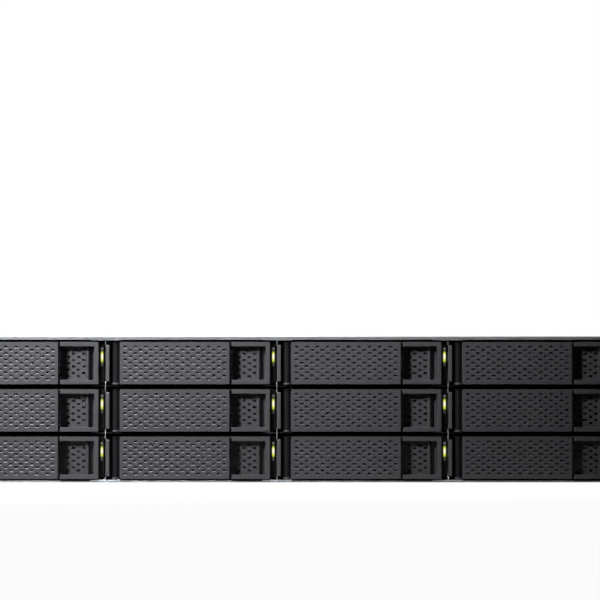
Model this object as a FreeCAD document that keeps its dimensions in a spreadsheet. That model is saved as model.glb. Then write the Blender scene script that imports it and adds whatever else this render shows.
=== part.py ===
import FreeCAD, Part
import math
import os
import re
import Sketcher

# Storage server for a 19 inch rack, two units high, with twelve hot swap drive trays at its front.
# x runs to the right as seen from the front, y from the front to the back, z up, in millimetres.
# Pieces are drawn from the tray fronts back, from the base up and from the middle of the case out,
# and the whole is then set forward by half its depth, so that the origin is under its centre.

ROWS = 3
COLUMNS = 4
GRILLE_ROWS = 11
GRILLE_HOLES = 10
POCKET_ROWS = 9
POCKET_HOLES = 2
FAN_COUNT = 3
FAN_BLADES = 7
FAN_STRUTS = 3
FAN_CORNERS = 4
HEATSINK_FINS = 21
MEMORY_STICKS = 4
STANDOFF_ROWS = 3
PSU_PLACES = ["lower", "upper"]
PSU_VENTS = 7
NETWORK_PORTS = 4
USB_PORTS = 2
REAR_VENTS = 24
EXPANSION_BLANKS = 5
EVEN_SPACING = -1.0
SMALLEST_CUT = 1e-6

SIZES = {
    # Case
    "rack_width": 482.6,
    "case_width": 430.0,
    "case_depth": 520.0,
    "case_setback": 0.6,
    "base_sheet": 1.0,
    "lid_sheet": 1.0,
    "lid_skirt": 8.0,
    "lid_fit": 0.3,
    "lid_split": 250.0,
    "lid_gap": 0.3,
    "rail_screw_radius": 2.25,
    "rail_screw_first": 130.0,
    "rail_screw_spacing": 280.0,
    # Rack ears
    "ear_sheet": 2.5,
    "ear_flange": 1.5,
    "ear_flange_length": 45.0,
    "ear_slot_width": 6.8,
    "ear_slot_length": 10.0,
    "ear_slot_spacing": 465.1,
    "ear_slot_rise": 76.2,
    "button_radius": 3.5,
    "button_fit": 0.1,
    "button_inset": 6.0,
    "button_height": 60.0,
    "button_flange_radius": 4.2,
    "button_flange": 1.0,
    "button_gap": 0.2,
    # Drive cage
    "cage_sheet": 0.5,
    "cage_depth": 170.0,
    "flange_reach": 9.2,
    "tab_front": 1.6,
    "notch_back": 8.0,
    "notch_fit": 0.3,
    "ledge_front": 14.0,
    "top_clearance": 0.15,
    "brace_sheet": 0.8,
    "brace_front": 0.9,
    "brace_depth": 95.0,
    "brace_slot": 40.0,
    # Drives
    "drive_width": 101.6,
    "drive_height": 26.1,
    "drive_length": 147.0,
    "drive_setback": 18.0,
    "drive_corner": 3.0,
    "drive_lid": 1.6,
    "drive_lid_inset": 2.0,
    "drive_board_depth": 1.4,
    "drive_rim": 7.0,
    "plug_left": 29.0,
    "plug_width": 42.0,
    "plug_bottom": 5.0,
    "plug_height": 6.0,
    "plug_reach": 3.0,
    "plug_fit": 0.3,
    # Tray
    "rail_wall": 0.5,
    "rail_height": 14.0,
    "rail_end": 160.0,
    "side_clearance": 0.25,
    "ledge_clearance": 0.25,
    "head_clearance": 1.15,
    "tray_floor": 0.6,
    "floor_window_length": 48.0,
    "floor_window_width": 38.0,
    "floor_window_gap": 6.0,
    "panel_height": 25.55,
    "panel_lift": 0.35,
    "bulkhead_front": 9.0,
    "bulkhead_wall": 1.2,
    "air_window_width": 26.0,
    "air_window_gap": 3.0,
    "air_window_edge": 3.2,
    "strip_left": 0.1,
    "strip_width": 2.3,
    "strip_front": 1.5,
    "strip_thickness": 1.5,
    "strip_short": 1.75,
    "strip_web": 1.0,
    "pocket_left": 76.2,
    "pocket_right": 99.4,
    "pocket_bar": 2.6,
    "pocket_side": 2.6,
    "pocket_depth": 13.2,
    "pocket_wall": 1.2,
    "pocket_behind": 68.5,
    "pocket_slope": 2.6,
    "pocket_hole_width": 2.0,
    "pocket_hole_height": 1.2,
    "pocket_hole_gap": 0.1,
    "groove_width": 3.2,
    "rib_radius": 1.2,
    "fascia_front": 3.6,
    "fascia_wall": 1.4,
    "fascia_short": 1.1,
    "pipe_left": 100.55,
    "pipe_width": 1.8,
    "pipe_height": 11.8,
    "pipe_drop": 2.95,
    "pipe_front": 2.8,
    "pipe_fit": 0.1,
    # Swing lever
    "hinge_across": 6.25,
    "hinge_back": 4.4,
    "barrel_radius": 2.1,
    "pin_radius": 1.0,
    "pin_fit": 0.05,
    "lug_height": 0.9,
    "lug_radius": 2.3,
    "barrel_fit": 0.1,
    "lever_gap": 0.4,
    "lever_right": 75.0,
    "lever_front": 1.0,
    "lever_depth": 6.0,
    "lever_skin": 1.0,
    "lever_wall": 1.2,
    "knuckle_thickness": 2.4,
    "grille_pitch": 6.31,
    "grille_step": 1.94,
    "grille_hole_width": 2.2,
    "grille_hole_height": 1.5,
    "grille_taper": 17.0,
    # Backplane
    "board_thickness": 2.4,
    "board_slot_width": 26.0,
    "board_slot_height": 14.0,
    # Fans
    "fan_size": 80.0,
    "fan_depth": 38.0,
    "fan_front": 200.0,
    "fan_spacing": 120.0,
    "fan_bore_radius": 38.0,
    "fan_flange": 5.0,
    "fan_corner": 11.0,
    "stator_radius": 17.0,
    "stator_depth": 6.0,
    "strut_width": 5.0,
    "shaft_radius": 1.5,
    "shaft_fit": 0.05,
    "rotor_radius": 18.0,
    "rotor_depth": 24.0,
    "rotor_gap": 0.4,
    "blade_tip_gap": 1.2,
    "blade_thickness": 1.4,
    "blade_root_chord": 21.0,
    "blade_tip_chord": 26.0,
    "blade_root_pitch": 40.0,
    "blade_tip_pitch": 58.0,
    # Mainboard
    "standoff_height": 6.8,
    "standoff_radius": 3.0,
    "mainboard_thickness": 1.6,
    "mainboard_left": -205.0,
    "mainboard_width": 315.0,
    "mainboard_front": 262.0,
    "mainboard_inset": 8.0,
    "mainboard_gap": 2.0,
    "heatsink_size": 78.0,
    "heatsink_left": -120.0,
    "heatsink_front": 310.0,
    "heatsink_base": 5.0,
    "heatsink_height": 46.0,
    "fin_thickness": 1.0,
    "fin_pitch": 3.85,
    "memory_left": 10.0,
    "memory_pitch": 9.5,
    "memory_front": 300.0,
    "memory_length": 133.0,
    "memory_height": 31.0,
    "memory_thickness": 1.4,
    "memory_socket_width": 6.5,
    "memory_socket_height": 7.0,
    # Power supplies
    "psu_across": 160.0,
    "psu_width": 73.5,
    "psu_height": 39.0,
    "psu_length": 185.0,
    "psu_fit": 0.4,
    "psu_sheet": 1.0,
    "psu_cage_short": 12.0,
    "inlet_width": 27.6,
    "inlet_height": 20.0,
    "inlet_depth": 16.0,
    "inlet_across": 12.0,
    "inlet_corner": 5.0,
    "handle_reach": 25.0,
    "handle_width": 30.0,
    "handle_bar": 4.0,
    "handle_height": 5.0,
    "handle_across": -19.0,
    "psu_vent_width": 28.0,
    "psu_vent_height": 2.4,
    "psu_vent_pitch": 4.6,
    "latch_travel": 3.0,
    "latch_fit": 0.2,
    "latch_tongue": 2.2,
    "latch_depth": 20.0,
    "latch_reach": 13.0,
    "latch_height": 12.0,
    "latch_across": 32.0,
    "latch_thumb": 5.0,
    # Rear panel and ports
    "port_fit": 0.3,
    "port_proud": 0.8,
    "port_depth": 21.0,
    "port_wall": 1.8,
    "network_left": -62.0,
    "network_pitch": 18.0,
    "network_width": 16.0,
    "network_height": 13.6,
    "network_cavity": 12.0,
    "usb_left": 20.0,
    "usb_pitch": 19.0,
    "usb_width": 15.0,
    "usb_height": 8.6,
    "usb_cavity": 10.0,
    "vent_pitch": 7.0,
    "vent_width": 4.0,
    "vent_height": 20.0,
    "vent_bottom": 50.0,
    "blank_width": 14.0,
    "blank_height": 58.0,
    "blank_pitch": 20.0,
    "blank_left": -196.0,
    "blank_bottom": 14.0,
    "blank_depth": 0.5,
}

# Sizes that follow from the driving ones. Tray, lever and drive places are measured across from the
# middle of the divider at the bay's left, back from the tray fronts and up from the tray's underside.
FORMULAS = {
    "front_face": "-(case_depth + handle_reach) / 2",
    "bay_pitch": "drive_width + 2 * rail_wall + 2 * side_clearance + cage_sheet",
    "row_pitch": "drive_height + tray_floor + ledge_clearance + cage_sheet + head_clearance",
    "tray_bottom": "base_sheet + cage_sheet + ledge_clearance",
    "top_drive": "tray_bottom + tray_floor + (%d - 1) * row_pitch + drive_height" % ROWS,
    "cage_top": "top_drive + top_clearance",
    "brace_bottom": "cage_top + cage_sheet",
    "lid_bottom": "brace_bottom + brace_sheet + lid_gap",
    "case_height": "lid_bottom + lid_sheet",
    "case_half": "case_width / 2",
    "case_inner": "case_half - base_sheet",
    "skirt_outer": "case_inner - lid_fit",
    "skirt_inner": "skirt_outer - lid_sheet",
    "skirt_bottom": "lid_bottom - lid_skirt",
    "rear_inner": "case_depth - base_sheet",
    "brace_half": "skirt_inner - lid_fit",
    "cage_half": "%d * bay_pitch / 2" % COLUMNS,
    "rail_left": "cage_sheet / 2 + side_clearance",
    "rail_right": "bay_pitch - rail_left",
    "drive_left": "rail_left + rail_wall",
    "drive_right": "drive_left + drive_width",
    "drive_back": "drive_setback + drive_length",
    "drive_top": "tray_floor + drive_height",
    "panel_top": "panel_lift + panel_height",
    "recess_right": "pocket_right - pocket_side",
    "recess_back": "pocket_depth - pocket_wall",
    "recess_low": "panel_lift + pocket_bar",
    "recess_height": "panel_height - 2 * pocket_bar",
    "rib_across": "recess_right - groove_width - rib_radius",
    "rib_back": "recess_back - pocket_slope",
    "pocket_holes_right": "rib_across - rib_radius - pocket_hole_gap",
    "pocket_holes_width": "(%d - 0.5) * grille_pitch + pocket_hole_width" % POCKET_HOLES,
    "pocket_holes_left": "pocket_holes_right - pocket_holes_width",
    "pocket_holes_height": "(%d - 1) * grille_step + pocket_hole_height" % POCKET_ROWS,
    "pocket_holes_low": "panel_lift + (panel_height - pocket_holes_height) / 2",
    "shelf_front": "lever_front + lever_depth + lever_gap",
    "strip_back": "strip_front + strip_thickness",
    "strip_low": "panel_lift + strip_short",
    "strip_height": "panel_height - 2 * strip_short",
    "web_left": "strip_left + (strip_width - strip_web) / 2",
    "lug_gap": "panel_height - 2 * lug_height",
    "lever_left": "hinge_across + barrel_radius + lever_gap",
    "barrel_low": "panel_lift + lug_height + barrel_fit",
    "barrel_height": "lug_gap - 2 * barrel_fit",
    "pipe_right": "pipe_left + pipe_width",
    "pipe_top": "panel_top - pipe_drop",
    "pipe_low": "pipe_top - pipe_height",
    "grille_width": "(%d - 0.5) * grille_pitch + grille_hole_width" % GRILLE_HOLES,
    "grille_left": "(lever_left + lever_right - grille_width) / 2",
    "grille_height": "(%d - 1) * grille_step + grille_hole_height" % GRILLE_ROWS,
    "grille_low": "panel_lift + (panel_height - grille_height) / 2",
    "fan_half": "fan_size / 2",
    "fan_axis": "base_sheet + fan_half",
    "rotor_front": "fan_depth - stator_depth - rotor_gap - rotor_depth",
    "blade_radius": "fan_bore_radius - blade_tip_gap",
    "board_bottom": "base_sheet + standoff_height",
    "board_top": "board_bottom + mainboard_thickness",
    "mainboard_back": "rear_inner - mainboard_gap",
    "psu_back": "case_depth",
    "psu_front": "case_depth - psu_length",
    "psu_half": "psu_width / 2",
    "psu_room": "psu_height + 2 * psu_fit",
    "psu_cage_half": "psu_half + psu_fit + psu_sheet",
    "psu_rise": "psu_room + psu_sheet",
    "psu_bottom": "base_sheet + psu_sheet + psu_fit",
    "psu_cage_top": "base_sheet + 2 * psu_rise + psu_sheet",
    "port_back": "case_depth + port_proud",
    "port_front": "port_back - port_depth",
}

DOC = FreeCAD.newDocument("rack_storage_server")
SHEET = DOC.addObject("Spreadsheet::Sheet", "sizes")
NODES = {}


def fill_sheet():
    """Write every driving size to its own named cell."""
    for row, (alias, number) in enumerate(SIZES.items(), start=1):
        SHEET.set("A%d" % row, alias)
        SHEET.set("B%d" % row, str(number))
        SHEET.setAlias("B%d" % row, alias)
    DOC.recompute()


def bound(text):
    """Turn a formula in plain size names into one that reads the sheet."""

    def word(match):
        name = match.group(0)
        if name in FORMULAS:
            return "(" + bound(FORMULAS[name]) + ")"
        if name in SIZES:
            return "sizes." + name
        return name

    return re.sub(r"[a-z_]+", word, str(text))


def value(text):
    """Number that a formula has now."""
    return float(SHEET.evalExpression(bound(text)))


def new_body(name):
    return DOC.addObject("PartDesign::Body", name)


def origin_feature(body, role):
    return [item for item in body.Origin.OriginFeatures if item.Role == role][0]


def new_sketch(body, name, plane, start):
    """Sketch on a plane across X, Y or Z, at a distance along that axis."""
    sketch = body.newObject("Sketcher::SketchObject", name)
    sketch.AttachmentSupport = [(origin_feature(body, plane + "_Plane"), "")]
    sketch.MapMode = "FlatFace"
    offset = "-(%s)" % start if plane == "XZ" else start
    sketch.setExpression("AttachmentOffset.Base.z", bound(offset))
    return sketch


def hold(sketch, kind, edge, point, text):
    """Fix one coordinate of a sketch point by a formula."""
    rule = Sketcher.Constraint(kind, -1, 1, edge, point, value(text))
    index = sketch.addConstraint(rule)
    sketch.setExpression("Constraints[%d]" % index, bound(text))


def hold_radius(sketch, edge, text):
    index = sketch.addConstraint(Sketcher.Constraint("Radius", edge, value(text)))
    sketch.setExpression("Constraints[%d]" % index, bound(text))


def draw_outline(sketch, corners):
    """Closed loop of straight edges through corners given as formulas."""
    first = sketch.GeometryCount
    count = len(corners)
    points = [FreeCAD.Vector(value(x), value(y), 0) for x, y in corners]
    for index in range(count):
        sketch.addGeometry(Part.LineSegment(points[index], points[(index + 1) % count]), False)
    for index, (x, y) in enumerate(corners):
        following = first + (index + 1) % count
        sketch.addConstraint(Sketcher.Constraint("Coincident", first + index, 2, following, 1))
        hold(sketch, "DistanceX", first + index, 1, x)
        hold(sketch, "DistanceY", first + index, 1, y)


def draw_circle(sketch, across, up, radius):
    centre = FreeCAD.Vector(value(across), value(up), 0)
    edge = sketch.addGeometry(Part.Circle(centre, FreeCAD.Vector(0, 0, 1), value(radius)), False)
    hold(sketch, "DistanceX", edge, 3, across)
    hold(sketch, "DistanceY", edge, 3, up)
    hold_radius(sketch, edge, radius)


def draw_slot(sketch, across, up, length, width):
    """Slot with round ends, its length along the sketch's first axis."""
    first = sketch.GeometryCount
    reach = "(%s - %s) / 2" % (length, width)
    left = "%s - %s" % (across, reach)
    right = "%s + %s" % (across, reach)
    low = "%s - %s / 2" % (up, width)
    high = "%s + %s / 2" % (up, width)
    radius = value(width) / 2
    normal = FreeCAD.Vector(0, 0, 1)
    middle = value(up)
    corners = [(left, low), (right, low), (right, high), (left, high)]
    points = [FreeCAD.Vector(value(x), value(y), 0) for x, y in corners]
    right_circle = Part.Circle(FreeCAD.Vector(value(right), middle, 0), normal, radius)
    left_circle = Part.Circle(FreeCAD.Vector(value(left), middle, 0), normal, radius)
    quarter = math.pi / 2
    sketch.addGeometry(Part.LineSegment(points[0], points[1]), False)
    sketch.addGeometry(Part.ArcOfCircle(right_circle, -quarter, quarter), False)
    sketch.addGeometry(Part.LineSegment(points[2], points[3]), False)
    sketch.addGeometry(Part.ArcOfCircle(left_circle, quarter, 3 * quarter), False)
    for line, arc in ((first, first + 1), (first + 2, first + 3)):
        after = first + 2 if line == first else first
        sketch.addConstraint(Sketcher.Constraint("Tangent", line, 2, arc, 1))
        sketch.addConstraint(Sketcher.Constraint("Coincident", arc, 2, after, 1))
    for line, start, end in ((first, corners[0], corners[1]), (first + 2, corners[2], corners[3])):
        hold(sketch, "DistanceX", line, 1, start[0])
        hold(sketch, "DistanceY", line, 1, start[1])
        hold(sketch, "DistanceX", line, 2, end[0])
        hold(sketch, "DistanceY", line, 2, end[1])


def rect(left, right, low, high):
    return [(left, low), (right, low), (right, high), (left, high)]


def draw(sketch, loops):
    """Draw each loop: a list of corners, or a named round or slot."""
    for loop in loops:
        if isinstance(loop, list):
            draw_outline(sketch, loop)
        elif loop[0] == "round":
            draw_circle(sketch, *loop[1:])
        else:
            draw_slot(sketch, *loop[1:])


def solid(body, name, plane, start, length, *loops):
    """Pad loops along the plane's positive axis."""
    sketch = new_sketch(body, name + "_outline", plane, start)
    draw(sketch, loops)
    pad = body.newObject("PartDesign::Pad", name)
    pad.Profile = sketch
    pad.setExpression("Length", bound(length))
    pad.Reversed = plane == "XZ"
    return pad


def cut(body, name, plane, start, length, *loops, taper=None):
    """Pocket loops along the plane's positive axis."""
    sketch = new_sketch(body, name + "_outline", plane, start)
    draw(sketch, loops)
    pocket = body.newObject("PartDesign::Pocket", name)
    pocket.Profile = sketch
    pocket.setExpression("Length", bound(length))
    pocket.Reversed = plane != "XZ"
    if taper:
        pocket.setExpression("TaperAngle", bound(taper))
    return pocket


def repeat(body, feature, axis, step, count, second_axis=None, second_step=None, second_count=1):
    """Copy a feature along one axis, or along two."""
    pattern = body.newObject("PartDesign::LinearPattern", feature.Name + "_row")
    pattern.Originals = [feature]
    pattern.Direction = (origin_feature(body, axis + "_Axis"), [""])
    pattern.Mode = "Spacing"
    pattern.setExpression("Offset", bound(step))
    pattern.Occurrences = count
    if second_axis:
        pattern.Direction2 = (origin_feature(body, second_axis + "_Axis"), [""])
        pattern.Mode2 = "Spacing"
        pattern.setExpression("Offset2", bound(second_step))
        pattern.Occurrences2 = second_count
        pattern.Spacings2 = [EVEN_SPACING] * (second_count - 1)
    body.Tip = pattern
    return pattern


def turn(body, feature, axis, count):
    """Copy a feature round an axis of its body."""
    pattern = body.newObject("PartDesign::PolarPattern", feature.Name + "_ring")
    pattern.Originals = [feature]
    pattern.Axis = (origin_feature(body, axis + "_Axis"), [""])
    pattern.Angle = 360
    pattern.Occurrences = count
    body.Tip = pattern
    return pattern


def place(item, across="0", back="0", up="0"):
    item.setExpression("Placement.Base.x", bound(across))
    item.setExpression("Placement.Base.y", bound(back))
    item.setExpression("Placement.Base.z", bound(up))


def group(name, members):
    """One object that holds other objects as separate solids."""
    compound = DOC.addObject("Part::Compound", name)
    compound.Links = members
    return compound


def copy_of(name, members, across, back, up):
    compound = group(name, members)
    place(compound, across, back, up)
    return compound


def keep(name, item):
    """Name a finished sub-part; a piece drawn in case places is set forward here."""
    item.Label = name
    NODES[name] = item


def keep_fixed(name, item):
    place(item, "0", "front_face", "0")
    keep(name, item)


def column_left(column):
    return "(%d - %d / 2) * bay_pitch" % (column, COLUMNS)


def row_bottom(row):
    return "tray_bottom + %d * row_pitch" % row


# Chassis base: a folded channel with board standoffs and screw holes for the slide rails.
def make_chassis_base():
    body = new_body("chassis_base_body")
    channel = [
        ("-case_half", "0"),
        ("case_half", "0"),
        ("case_half", "lid_bottom"),
        ("case_inner", "lid_bottom"),
        ("case_inner", "base_sheet"),
        ("-case_inner", "base_sheet"),
        ("-case_inner", "lid_bottom"),
        ("-case_half", "lid_bottom"),
    ]
    solid(body, "base_channel", "XZ", "case_setback", "case_depth - case_setback", channel)
    across = "mainboard_left + mainboard_inset"
    back = "mainboard_front + mainboard_inset"
    post = solid(body, "standoff", "XY", "base_sheet", "standoff_height",
                 ("round", across, back, "standoff_radius"))
    gaps = STANDOFF_ROWS - 1
    repeat(body, post, "X", "(mainboard_width - 2 * mainboard_inset) / %d" % gaps, STANDOFF_ROWS,
           "Y", "(mainboard_back - mainboard_front - 2 * mainboard_inset) / %d" % gaps, STANDOFF_ROWS)
    height = "case_height / 2"
    holes = [("round", "rail_screw_first", height, "rail_screw_radius"),
             ("round", "rail_screw_first + rail_screw_spacing", height, "rail_screw_radius")]
    cut(body, "rail_screws", "YZ", "-case_half - base_sheet", "case_width + 2 * base_sheet", *holes)
    keep_fixed("chassis_base", body)


def cover_profile():
    """Lid section with both skirts turned down inside the case walls."""
    right = [("case_half", "case_height"), ("case_half", "lid_bottom"), ("skirt_outer", "lid_bottom"),
             ("skirt_outer", "skirt_bottom"), ("skirt_inner", "skirt_bottom"), ("skirt_inner", "lid_bottom")]
    left = [("-" + across, up) for across, up in reversed(right)]
    return right + left


# Front and rear covers, parted across the case.
def make_covers():
    front = new_body("front_cover_body")
    solid(front, "front_cover_sheet", "XZ", "case_setback", "lid_split - case_setback", cover_profile())
    keep_fixed("front_cover", front)
    rear = new_body("rear_cover_body")
    start = "lid_split + lid_gap"
    solid(rear, "rear_cover_sheet", "XZ", start, "case_depth - lid_split - lid_gap", cover_profile())
    end = "rear_inner - lid_fit"
    cut(rear, "rear_cover_relief", "YZ", "-case_half", "case_width",
        rect(end, "case_depth + lid_fit", "skirt_bottom - lid_fit", "lid_bottom"))
    keep_fixed("rear_cover", rear)


# Rear panel with its power supply opening, port openings, vents and expansion blanks.
def make_rear_panel():
    body = new_body("rear_panel_body")
    solid(body, "rear_sheet", "XZ", "rear_inner", "base_sheet",
          rect("-case_inner", "case_inner", "base_sheet", "lid_bottom"))
    cut(body, "psu_opening", "XZ", "rear_inner", "base_sheet",
        rect("psu_across - psu_half - psu_fit", "psu_across + psu_half + psu_fit",
             "base_sheet + psu_sheet", "psu_cage_top - psu_sheet"))
    network = cut(body, "network_opening", "XZ", "rear_inner", "base_sheet",
                  rect("network_left - port_fit", "network_left + network_width + port_fit",
                       "board_top - port_fit", "board_top + network_height + port_fit"))
    repeat(body, network, "X", "network_pitch", NETWORK_PORTS)
    usb = cut(body, "usb_opening", "XZ", "rear_inner", "base_sheet",
              rect("usb_left - port_fit", "usb_left + usb_width + port_fit",
                   "board_top - port_fit", "board_top + usb_height + port_fit"))
    repeat(body, usb, "X", "usb_pitch", USB_PORTS)
    vent = cut(body, "vent", "XZ", "rear_inner", "base_sheet",
               rect("network_left", "network_left + vent_width",
                    "vent_bottom", "vent_bottom + vent_height"))
    repeat(body, vent, "X", "vent_pitch", REAR_VENTS)
    blank = cut(body, "expansion_blank", "XZ", "case_depth - blank_depth", "blank_depth",
                rect("blank_left", "blank_left + blank_width",
                     "blank_bottom", "blank_bottom + blank_height"))
    repeat(body, blank, "X", "blank_pitch", EXPANSION_BLANKS)
    keep_fixed("rear_panel", body)


# Rack ear: a thick front plate with slotted holes and a flange along the case side.
def make_rack_ear(side, with_button):
    name = "rack_ear_right" if side == "" else "rack_ear_left"
    body = new_body(name + "_body")
    inner = side + "case_half"
    outer = side + "rack_width / 2"
    bend = side + "(case_half + ear_flange)"
    plan = [
        (inner, "0"),
        (outer, "0"),
        (outer, "ear_sheet"),
        (bend, "ear_sheet"),
        (bend, "ear_flange_length"),
        (inner, "ear_flange_length"),
    ]
    solid(body, name + "_plate", "XY", "0", "case_height", plan)
    across = side + "ear_slot_spacing / 2"
    for label, up in (("low", "case_height / 2 - ear_slot_rise / 2"),
                      ("high", "case_height / 2 + ear_slot_rise / 2")):
        cut(body, "%s_slot_%s" % (name, label), "XZ", "0", "ear_sheet",
            ("slot", across, up, "ear_slot_length", "ear_slot_width"))
    if with_button:
        cut(body, "button_hole", "XZ", "0", "ear_sheet",
            ("round", "case_half + button_inset", "button_height", "button_radius + button_fit"))
    keep_fixed(name, body)


# Power button: a round cap that is held from behind by its flange.
def make_power_button():
    body = new_body("power_button_body")
    across = "case_half + button_inset"
    solid(body, "button_cap", "XZ", "0", "ear_sheet + button_gap + button_flange",
          ("round", across, "button_height", "button_radius"))
    solid(body, "button_collar", "XZ", "ear_sheet + button_gap", "button_flange",
          ("round", across, "button_height", "button_flange_radius"))
    keep_fixed("power_button", body)


# Bay walls: dividers with a notched front edge, end flanges and ledges that carry the trays.
def make_bay_wall(index):
    body = new_body("bay_wall_%d" % index)
    front = [("tab_front", "base_sheet")]
    for row in range(ROWS):
        low = "%s + strip_low - notch_fit" % row_bottom(row)
        high = "%s + strip_low + strip_height + notch_fit" % row_bottom(row)
        front += [("tab_front", low), ("notch_back", low), ("notch_back", high), ("tab_front", high)]
    back = [("tab_front", "brace_bottom"), ("cage_depth", "brace_bottom"), ("cage_depth", "base_sheet")]
    solid(body, "wall_sheet_%d" % index, "YZ", "-cage_sheet / 2", "cage_sheet", front + back)
    left = "-cage_sheet / 2" if index == 0 else "-flange_reach"
    right = "cage_sheet / 2" if index == COLUMNS else "flange_reach"
    solid(body, "wall_flanges_%d" % index, "XZ", "tab_front", "cage_depth - tab_front",
          rect(left, right, "base_sheet", "base_sheet + cage_sheet"),
          rect(left, right, "cage_top", "brace_bottom"))
    ledges = []
    for row in range(1, ROWS):
        ledge_top = "%s - ledge_clearance" % row_bottom(row)
        ledges.append(rect(left, right, "%s - cage_sheet" % ledge_top, ledge_top))
    solid(body, "wall_ledges_%d" % index, "XZ", "ledge_front", "cage_depth - ledge_front", *ledges)
    place(body, column_left(index))
    return body


def make_bay_walls():
    walls = [make_bay_wall(index) for index in range(COLUMNS + 1)]
    keep_fixed("bay_walls", group("bay_walls_group", walls))


# Cage brace: the slotted sheet that ties the dividers together under the lid.
def make_cage_brace():
    body = new_body("cage_brace_body")
    solid(body, "brace_sheet_pad", "XY", "brace_bottom", "brace_sheet",
          rect("-brace_half", "brace_half", "brace_front", "brace_front + brace_depth"))
    middle = "brace_front + brace_depth / 2"
    across = "-cage_half + bay_pitch / 2"
    first = cut(body, "brace_window", "XY", "brace_bottom", "brace_sheet",
                rect(across + " - brace_slot / 2", across + " + brace_slot / 2",
                     middle + " - brace_slot / 2", middle + " + brace_slot / 2"))
    repeat(body, first, "X", "bay_pitch", COLUMNS)
    keep_fixed("cage_brace", body)


# Tray: rails and floor, a bulkhead with air windows, the finger pocket, hinge lugs and light pipe.
def make_tray_master():
    body = new_body("tray_master")
    channel = [
        ("rail_left", "0"),
        ("rail_right", "0"),
        ("rail_right", "rail_height"),
        ("drive_right", "rail_height"),
        ("drive_right", "tray_floor"),
        ("drive_left", "tray_floor"),
        ("drive_left", "rail_height"),
        ("rail_left", "rail_height"),
    ]
    solid(body, "tray_channel", "XZ", "bulkhead_front", "rail_end - bulkhead_front", channel)
    window_left = "bay_pitch / 2 - floor_window_width - floor_window_gap / 2"
    window_front = "drive_setback + floor_window_gap"
    window = cut(body, "floor_window", "XY", "0", "tray_floor",
                 rect(window_left, window_left + " + floor_window_width",
                      window_front, window_front + " + floor_window_length"))
    repeat(body, window, "X", "floor_window_width + floor_window_gap", 2,
           "Y", "floor_window_length + floor_window_gap", 2)
    solid(body, "bulkhead", "XZ", "bulkhead_front", "bulkhead_wall",
          rect("rail_left", "rail_right", "panel_lift", "panel_top"))
    air_left = "lever_left + lever_wall"
    air = cut(body, "air_window", "XZ", "bulkhead_front", "bulkhead_wall",
              rect(air_left, air_left + " + air_window_width",
                   "panel_lift + air_window_edge", "panel_top - air_window_edge"))
    repeat(body, air, "X", "air_window_width + air_window_gap", 2)
    pocket_plan = [
        ("pocket_behind", "shelf_front"),
        ("pocket_left", "shelf_front"),
        ("pocket_left", "0"),
        ("pocket_right", "0"),
        ("pocket_right", "pocket_depth"),
        ("pocket_behind", "pocket_depth"),
    ]
    solid(body, "pocket_block", "XY", "panel_lift", "panel_height", pocket_plan)
    recess_plan = [
        ("pocket_behind + pocket_wall", "-pocket_wall"),
        ("recess_right", "-pocket_wall"),
        ("recess_right", "recess_back"),
        ("recess_right - groove_width", "recess_back"),
        ("recess_right - groove_width", "rib_back"),
        ("pocket_behind + pocket_wall", "recess_back"),
    ]
    cut(body, "finger_recess", "XY", "recess_low", "recess_height", recess_plan)
    solid(body, "grip_rib", "XY", "recess_low", "recess_height",
          ("round", "rib_across", "rib_back", "rib_radius"))
    hole_rows = (("outer", "pocket_holes_left", "pocket_holes_low", (POCKET_ROWS + 1) // 2),
                 ("inner", "pocket_holes_left + grille_pitch / 2", "pocket_holes_low + grille_step",
                  POCKET_ROWS // 2))
    for name, left, low, count in hole_rows:
        hole = cut(body, "pocket_hole_" + name, "XZ", "rib_back - rib_radius", "pocket_depth",
                   rect(left, left + " + pocket_hole_width", low, low + " + pocket_hole_height"))
        repeat(body, hole, "X", "grille_pitch", POCKET_HOLES, "Z", "2 * grille_step", count)
    solid(body, "edge_strip", "XZ", "strip_front", "strip_thickness",
          rect("strip_left", "strip_left + strip_width", "strip_low", "strip_low + strip_height"))
    solid(body, "edge_web", "XZ", "strip_back", "bulkhead_front - strip_back",
          rect("web_left", "web_left + strip_web", "strip_low", "strip_low + strip_height"))
    lug_left = "hinge_across - lug_radius"
    lug_right = "hinge_across + lug_radius"
    solid(body, "hinge_post", "XY", "panel_lift", "panel_height",
          rect(lug_left, lug_right, "hinge_back", "bulkhead_front"))
    solid(body, "hinge_nose", "XY", "panel_lift", "panel_height",
          ("round", "hinge_across", "hinge_back", "lug_radius"))
    cut(body, "barrel_room", "XY", "panel_lift + lug_height", "lug_gap",
        rect(lug_left + " - lever_gap", lug_right + " + lever_gap", "0", "bulkhead_front"))
    cut(body, "hinge_bore", "XY", "panel_lift", "panel_height",
        ("round", "hinge_across", "hinge_back", "pin_radius + pin_fit"))
    fascia_right = "rail_right - pipe_fit"
    solid(body, "lamp_fascia", "XZ", "fascia_front", "fascia_wall",
          rect("recess_right", fascia_right, "panel_lift + fascia_short", "panel_top - fascia_short"))
    cut(body, "pipe_slot", "XZ", "fascia_front", "fascia_wall",
        rect("pipe_left - pipe_fit", "pipe_right + pipe_fit", "pipe_low - pipe_fit", "pipe_top + pipe_fit"))
    return body


def make_light_pipe():
    body = new_body("light_pipe")
    solid(body, "pipe_bar", "XZ", "pipe_front", "bulkhead_front - pipe_front",
          rect("pipe_left", "pipe_right", "pipe_low", "pipe_top"))
    return body


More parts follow.
